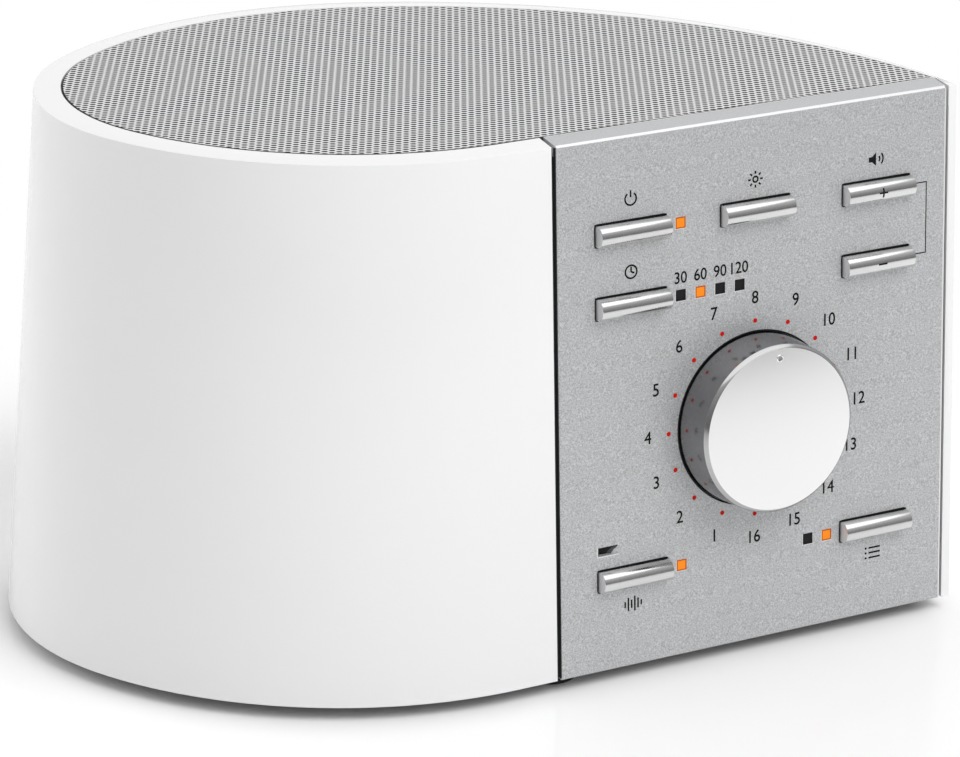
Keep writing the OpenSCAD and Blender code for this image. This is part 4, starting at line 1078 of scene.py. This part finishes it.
class MACHINE_OT_windows(bpy.types.Operator):
    """Adds the rims of the windows, in painted shade at the lit ones, painted highlights along
    the panel's edges at the windows and at the microphone slot, and painted shade in the slot"""
    bl_idname = "machine.windows"
    bl_label = "Windows"

    def execute(self, context):
        half = LENS_SIDE / 2
        rim = half + 0.12
        # The lit windows' rims are a darker orange, painted shade at their edges; the dark windows'
        # rims are their own black
        for name, slot_name, windows in (("window_rims", "lens_rim", LIT_WINDOWS),
                                         ("dark_window_rims", "lens_dark", DARK_WINDOWS)):
            rims = bmesh.new()
            for u, v in windows:
                self.frame(rims, u, v, half - 0.16, rim, -0.01)
            place(rims, PANEL)
            finish_piece(rims, name, "case", slot_name)
        # Painted highlights along the left and lower edges of the windows and of the microphone
        # slot
        edges = bmesh.new()
        for u, v in LIT_WINDOWS + DARK_WINDOWS:
            self.painted_edge_highlights(edges, u - rim, u + rim, -v - rim, -v + rim, 0.14)
        low, high = -MIC_V - MIC_H / 2, -MIC_V + MIC_H / 2
        self.painted_edge_highlights(edges, MIC_U, MIC_U + MIC_W, low, high, 0.26)
        place(edges, PANEL)
        finish_piece(edges, "window_edges", "case", "cut_edge")
        # Painted shade in the microphone slot: black where its walls shade it most, dark grey
        # beside that
        self.mouth("microphone_mouth", "slot_black", [
            (0.1, 0.98), (5.2, 1.0), (5.2, 0.93), (3.9, 0.45), (3.2, -0.3), (2.8, -1.0),
            (0.1, -1.0)])
        self.mouth("microphone_shade", "hole_shade", [
            (2.8, -1.0), (3.2, -0.3), (3.9, 0.45), (5.2, 0.93), (5.2, 0.7), (4.4, 0.0),
            (3.8, -1.0)])
        return {"FINISHED"}

    def painted_edge_highlights(self, bm, left, right, low, high, width):
        """Painted highlights: bright strips along the left and lower edges of an opening."""
        box(bm, (left - width, -0.02, low - width), (left, 0.03, high))
        box(bm, (left, -0.02, low - width), (right, 0.03, low))

    def mouth(self, name, slot_name, points):
        """Painted shade: dark lining on the slanted floor of the microphone slot, where its walls
        shade it.
        """
        bm = bmesh.new()
        deep, flat = 1.5, 2.2
        slope = deep / (MIC_W - flat)
        wedge = [(MIC_U + x, min(deep, (MIC_W - x) * slope) - 0.03, z - MIC_V) for x, z in points]
        bmesh.ops.contextual_create(bm, geom=chain(bm, wedge, closed=True))
        bmesh.ops.triangulate(bm, faces=bm.faces)
        place(bm, PANEL)
        finish_piece(bm, name, "case", slot_name)

    def frame(self, bm, u, v, inner, outer, y):
        """Four-sided band round a window, between two squares of half-widths inner and outer."""
        skin(bm, [[(u + sx * half, y, -v + sz * half)
                   for sx, sz in ((1, 1), (-1, 1), (-1, -1), (1, -1))] for half in (inner, outer)],
             closed=True)


def rounded_rect(half_w, half_h, radius, steps):
    """Corner points of a rectangle with round corners, in order."""
    points = []
    for sx, sz, start in ((1, 1, 0), (-1, 1, 90), (-1, -1, 180), (1, -1, 270)):
        for i in range(steps + 1):
            turn = direction(start + 90 * i / steps)
            points.append((sx * (half_w - radius) + radius * turn.x,
                           sz * (half_h - radius) + radius * turn.y))
    return points


class MACHINE_OT_edges(bpy.types.Operator):
    """Adds painted highlights along the panel's bevelled edges and the dark liner of the seam
    beside it
    """
    bl_idname = "machine.edges"
    bl_label = "Panel edges"

    def execute(self, context):
        back = BAND_DEPTH - SLACK
        bm = bmesh.new()
        # Painted highlights along the band's front edge and along its back edge by the grille
        self.strip(bm, [(0.2, -0.05, -0.42), (0.2, 0.38, 0.07)], (PANEL_W - 0.4, 0, 0))
        self.strip(bm, [(0.1, back - 0.25, 0.69), (0.1, back, 0.73), (0.1, back + 0.02, 0.6)],
                   (PANEL_W - 0.2, 0, 0))
        to_row_frame(bm)
        finish_piece(bm, "band_edges", "case", "cut_edge")
        bm = bmesh.new()
        down = (0, 0, 0.7 - PANEL_LEN)
        # Painted highlight along the panel's right edge
        self.strip(bm, [(PANEL_W - 0.3, -0.02, -0.35), (PANEL_W + 0.1, -0.02, -0.35),
                        (PANEL_W + 0.12, 0.25, -0.35)], down)
        place(bm, PANEL)
        finish_piece(bm, "side_edge", "case", "cut_edge")
        bm = bmesh.new()
        self.strip(bm, [(-0.03, 1.0, -0.35), (-0.03, 0.28, -0.35), (0.12, 0.13, -0.35)], down)
        place(bm, PANEL)
        finish_piece(bm, "seam_liner", "case", "black_rubber")
        return {"FINISHED"}

    def strip(self, bm, profile, run):
        """Thin band: a profile carried along a straight run."""
        skin(bm, [profile, [Vector(p) + Vector(run) for p in profile]])
        recalculate(bm)


# ---------------------------------------------------------------- printing
def flat_ring(bm, x, y, outer, inner, start=0.0, end=360.0):
    """Ring or arc of ink in artwork coordinates."""
    span = math.radians(end - start)
    verts = [bm.verts.new((r, 0, PROUD)) for r in (inner, outer)]
    edge = bm.edges.new(verts)
    closed = end - start >= 360
    before = set(bm.verts) - set(verts)
    bmesh.ops.rotate(bm, verts=verts, cent=(0, 0, 0),
                     matrix=Matrix.Rotation(math.radians(start), 3, "Z"))
    bmesh.ops.spin(bm, geom=[*verts, edge], cent=(0, 0, 0), axis=(0, 0, 1), dvec=(0, 0, 0),
                   angle=span, steps=32, use_merge=closed, use_duplicate=False)
    moved = [v for v in bm.verts if v not in before]
    bmesh.ops.translate(bm, verts=moved, vec=(x, y, 0))


def flat_bar(bm, x0, y0, x1, y1, width=LINE):
    """Straight stroke of ink between two points."""
    way = Vector((x1 - x0, y1 - y0, 0))
    verts = box(bm, (0, -width / 2, PROUD - INK), (way.length, width / 2, PROUD))
    turn = Matrix.Rotation(math.atan2(way.y, way.x), 4, "Z")
    place(bm, Matrix.Translation((x0, y0, 0)) @ turn, verts)


def flat_shape(bm, points):
    """Filled shape of ink."""
    bmesh.ops.contextual_create(bm, geom=chain(bm, [(x, y, PROUD) for x, y in points], True))


def print_on_panel(bm, name, ink_name="print_black"):
    """Lays artwork, drawn from the panel's top left corner with y up, onto the face."""
    recalculate(bm)
    place(bm, PANEL @ ON_FACE)
    finish_piece(bm, name, "case", ink_name)


def figures(bm, text, u, v, height):
    """Adds figures in the built-in font, centred at (u, v) below the panel's top left."""
    curve = bpy.data.curves.new("figures", "FONT")
    curve.body = text
    curve.align_x, curve.align_y = "CENTER", "CENTER"
    curve.size = 1.0
    curve.resolution_u = 6
    letters = show("figures", curve)
    mesh = bpy.data.meshes.new_from_object(
        letters.evaluated_get(bpy.context.evaluated_depsgraph_get()))
    lows = [min(p.co[i] for p in mesh.vertices) for i in range(2)]
    highs = [max(p.co[i] for p in mesh.vertices) for i in range(2)]
    scale = height / (highs[1] - lows[1])
    middle = Vector(((lows[0] + highs[0]) / 2, (lows[1] + highs[1]) / 2, 0))
    before = set(bm.verts)
    bm.from_mesh(mesh)
    bmesh.ops.remove_doubles(bm, verts=[p for p in bm.verts if p not in before], dist=1e-4)
    fresh = [p for p in bm.verts if p not in before]
    squeeze = Matrix.Diagonal((scale * FIGURE_SQUEEZE, scale, 1, 1))
    place(bm, Matrix.Translation((u, -v, PROUD)) @ squeeze @ Matrix.Translation(-middle), fresh)
    embolden(fresh, FIGURE_GROWTH)
    bmesh.ops.dissolve_degenerate(bm, dist=1e-5, edges=bm.edges)
    bpy.data.objects.remove(letters)


def embolden(verts, growth):
    """Moves the outline of flat figures outwards, each corner along the bisector of its sides."""
    shifts = {}
    for edge in {e for v in verts for e in v.link_edges if e.is_boundary}:
        start, way = edge.verts[0].co, edge.verts[1].co - edge.verts[0].co
        out = Vector((way.y, -way.x, 0)).normalized()
        if out.dot(edge.link_faces[0].calc_center_median() - start) > 0:
            out.negate()
        for v in edge.verts:
            shifts.setdefault(v, []).append(out)
    for v, sides in shifts.items():
        bisector = sum(sides, Vector())
        v.co += bisector * growth / max(bisector.length_squared / 2, 0.6)


class MACHINE_OT_printing(bpy.types.Operator):
    """Prints the dots and numbers round the dial, the minutes and the button signs"""
    bl_idname = "machine.printing"
    bl_label = "Printing"

    def execute(self, context):
        sizes = context.scene.machine_sizes
        height = sizes.letter_height / MM
        count = sizes.dial_numbers
        dots, numbers, middle = bmesh.new(), bmesh.new(), Vector((MIDDLE_U, -DIAL_V))
        for i in range(count):
            way = direction(FIRST_NUMBER - 360 * i / count)
            dot, label = middle + DOTS_R * way, middle + NUMBERS_R * way
            flat_ring(dots, dot.x, dot.y, sizes.dot_radius / MM, 0.0001)
            figures(numbers, str(i + 1), label.x, -label.y, height)
        bmesh.ops.remove_doubles(dots, verts=dots.verts, dist=1e-3)
        print_on_panel(dots, "dial_dots", "print_red")
        print_on_panel(numbers, "dial_numbers")
        minutes = bmesh.new()
        for i, text in enumerate(("30", "60", "90", "120")):
            figures(minutes, text, LEFT_U + LENS_OFFSET + i * LENS_PITCH, MINUTES_V,
                    height * 0.92)
        print_on_panel(minutes, "timer_minutes")
        self.signs()
        self.bracket()
        return {"FINISHED"}

    def signs(self):
        """Plain pictograms beside the buttons: power, brightness, loudness, clock, waves, list."""
        bm = bmesh.new()
        x, y = LEFT_U, -14.4
        flat_ring(bm, x, y, 1.65, 1.65 - LINE, 125, 415)
        flat_bar(bm, x, y + 0.35, x, y + 1.95)
        x, y = MIDDLE_U, -14.6
        flat_ring(bm, x, y, 0.85, 0.85 - LINE)
        for k in range(8):
            ray = direction(45 * k)
            flat_bar(bm, x + ray.x * 1.25, y + ray.y * 1.25, x + ray.x * 1.95, y + ray.y * 1.95)
        x, y = RIGHT_U, -14.5
        flat_shape(bm, [(x - 2.1, y - 0.6), (x - 1.2, y - 0.6), (x - 0.1, y - 1.6),
                        (x - 0.1, y + 1.6), (x - 1.2, y + 0.6), (x - 2.1, y + 0.6)])
        for r in (1.1, 2.0):
            flat_ring(bm, x, y, r, r - LINE, -42, 42)
        x, y = LEFT_U, -31.1
        flat_ring(bm, x, y, 1.7, 1.7 - LINE)
        flat_bar(bm, x, y, x, y + 1.15)
        flat_bar(bm, x, y, x + 0.85, y - 0.35)
        x, y = LEFT_U, -109.1
        for k, tall in enumerate((0.7, 1.6, 1.0, 1.8, 1.2, 0.6)):
            bar_x = x + (k - 2.5) * 0.85
            flat_bar(bm, bar_x, y - tall, bar_x, y + tall)
        x, y = RIGHT_U, -109.0
        for k in (-1, 0, 1):
            flat_ring(bm, x - 1.9, y + k * 1.2, 0.28, 0.001)
            flat_bar(bm, x - 1.1, y + k * 1.2, x + 2.1, y + k * 1.2)
        print_on_panel(bm, "button_signs")

    def bracket(self):
        """Thin line that ties the two volume buttons together."""
        bm = bmesh.new()
        near, far, line = 94.2, 98.0, 0.26
        flat_bar(bm, near, -ROW_POWER, far, -ROW_POWER, line)
        flat_bar(bm, far, -ROW_POWER + line / 2, far, -ROW_TIMER - line / 2, line)
        flat_bar(bm, far, -ROW_TIMER, near, -ROW_TIMER, line)
        print_on_panel(bm, "volume_bracket")


# ---------------------------------------------------------------- panel and run
STEPS = (
    MACHINE_OT_studio, MACHINE_OT_finishes, MACHINE_OT_shell, MACHINE_OT_base,
    MACHINE_OT_grille, MACHINE_OT_dial, MACHINE_OT_buttons, MACHINE_OT_windows,
    MACHINE_OT_edges, MACHINE_OT_printing,
)


class MACHINE_PT_sidebar(bpy.types.Panel):
    """Lists the steps that build the sound machine"""
    bl_label = "Sound machine"
    bl_idname = "MACHINE_PT_sidebar"
    bl_space_type = "VIEW_3D"
    bl_region_type = "UI"
    bl_category = "Sound machine"

    def draw(self, context):
        for step in STEPS:
            self.layout.operator(step.bl_idname)


SETTINGS = {"machine_finishes": MachineFinishes, "machine_sizes": MachineSizes,
            "machine_studio": MachineStudio}
CLASSES = (*SETTINGS.values(), *STEPS, MACHINE_PT_sidebar)


def register():
    for cls in CLASSES:
        bpy.utils.register_class(cls)
    for name, group in SETTINGS.items():
        setattr(bpy.types.Scene, name, PointerProperty(type=group))


def unregister():
    for name in SETTINGS:
        delattr(bpy.types.Scene, name)
    for cls in reversed(CLASSES):
        bpy.utils.unregister_class(cls)


def main():
    register()
    for step in STEPS:
        getattr(bpy.ops.machine, step.bl_idname.removeprefix("machine."))()


if __name__ == "__main__":
    main()
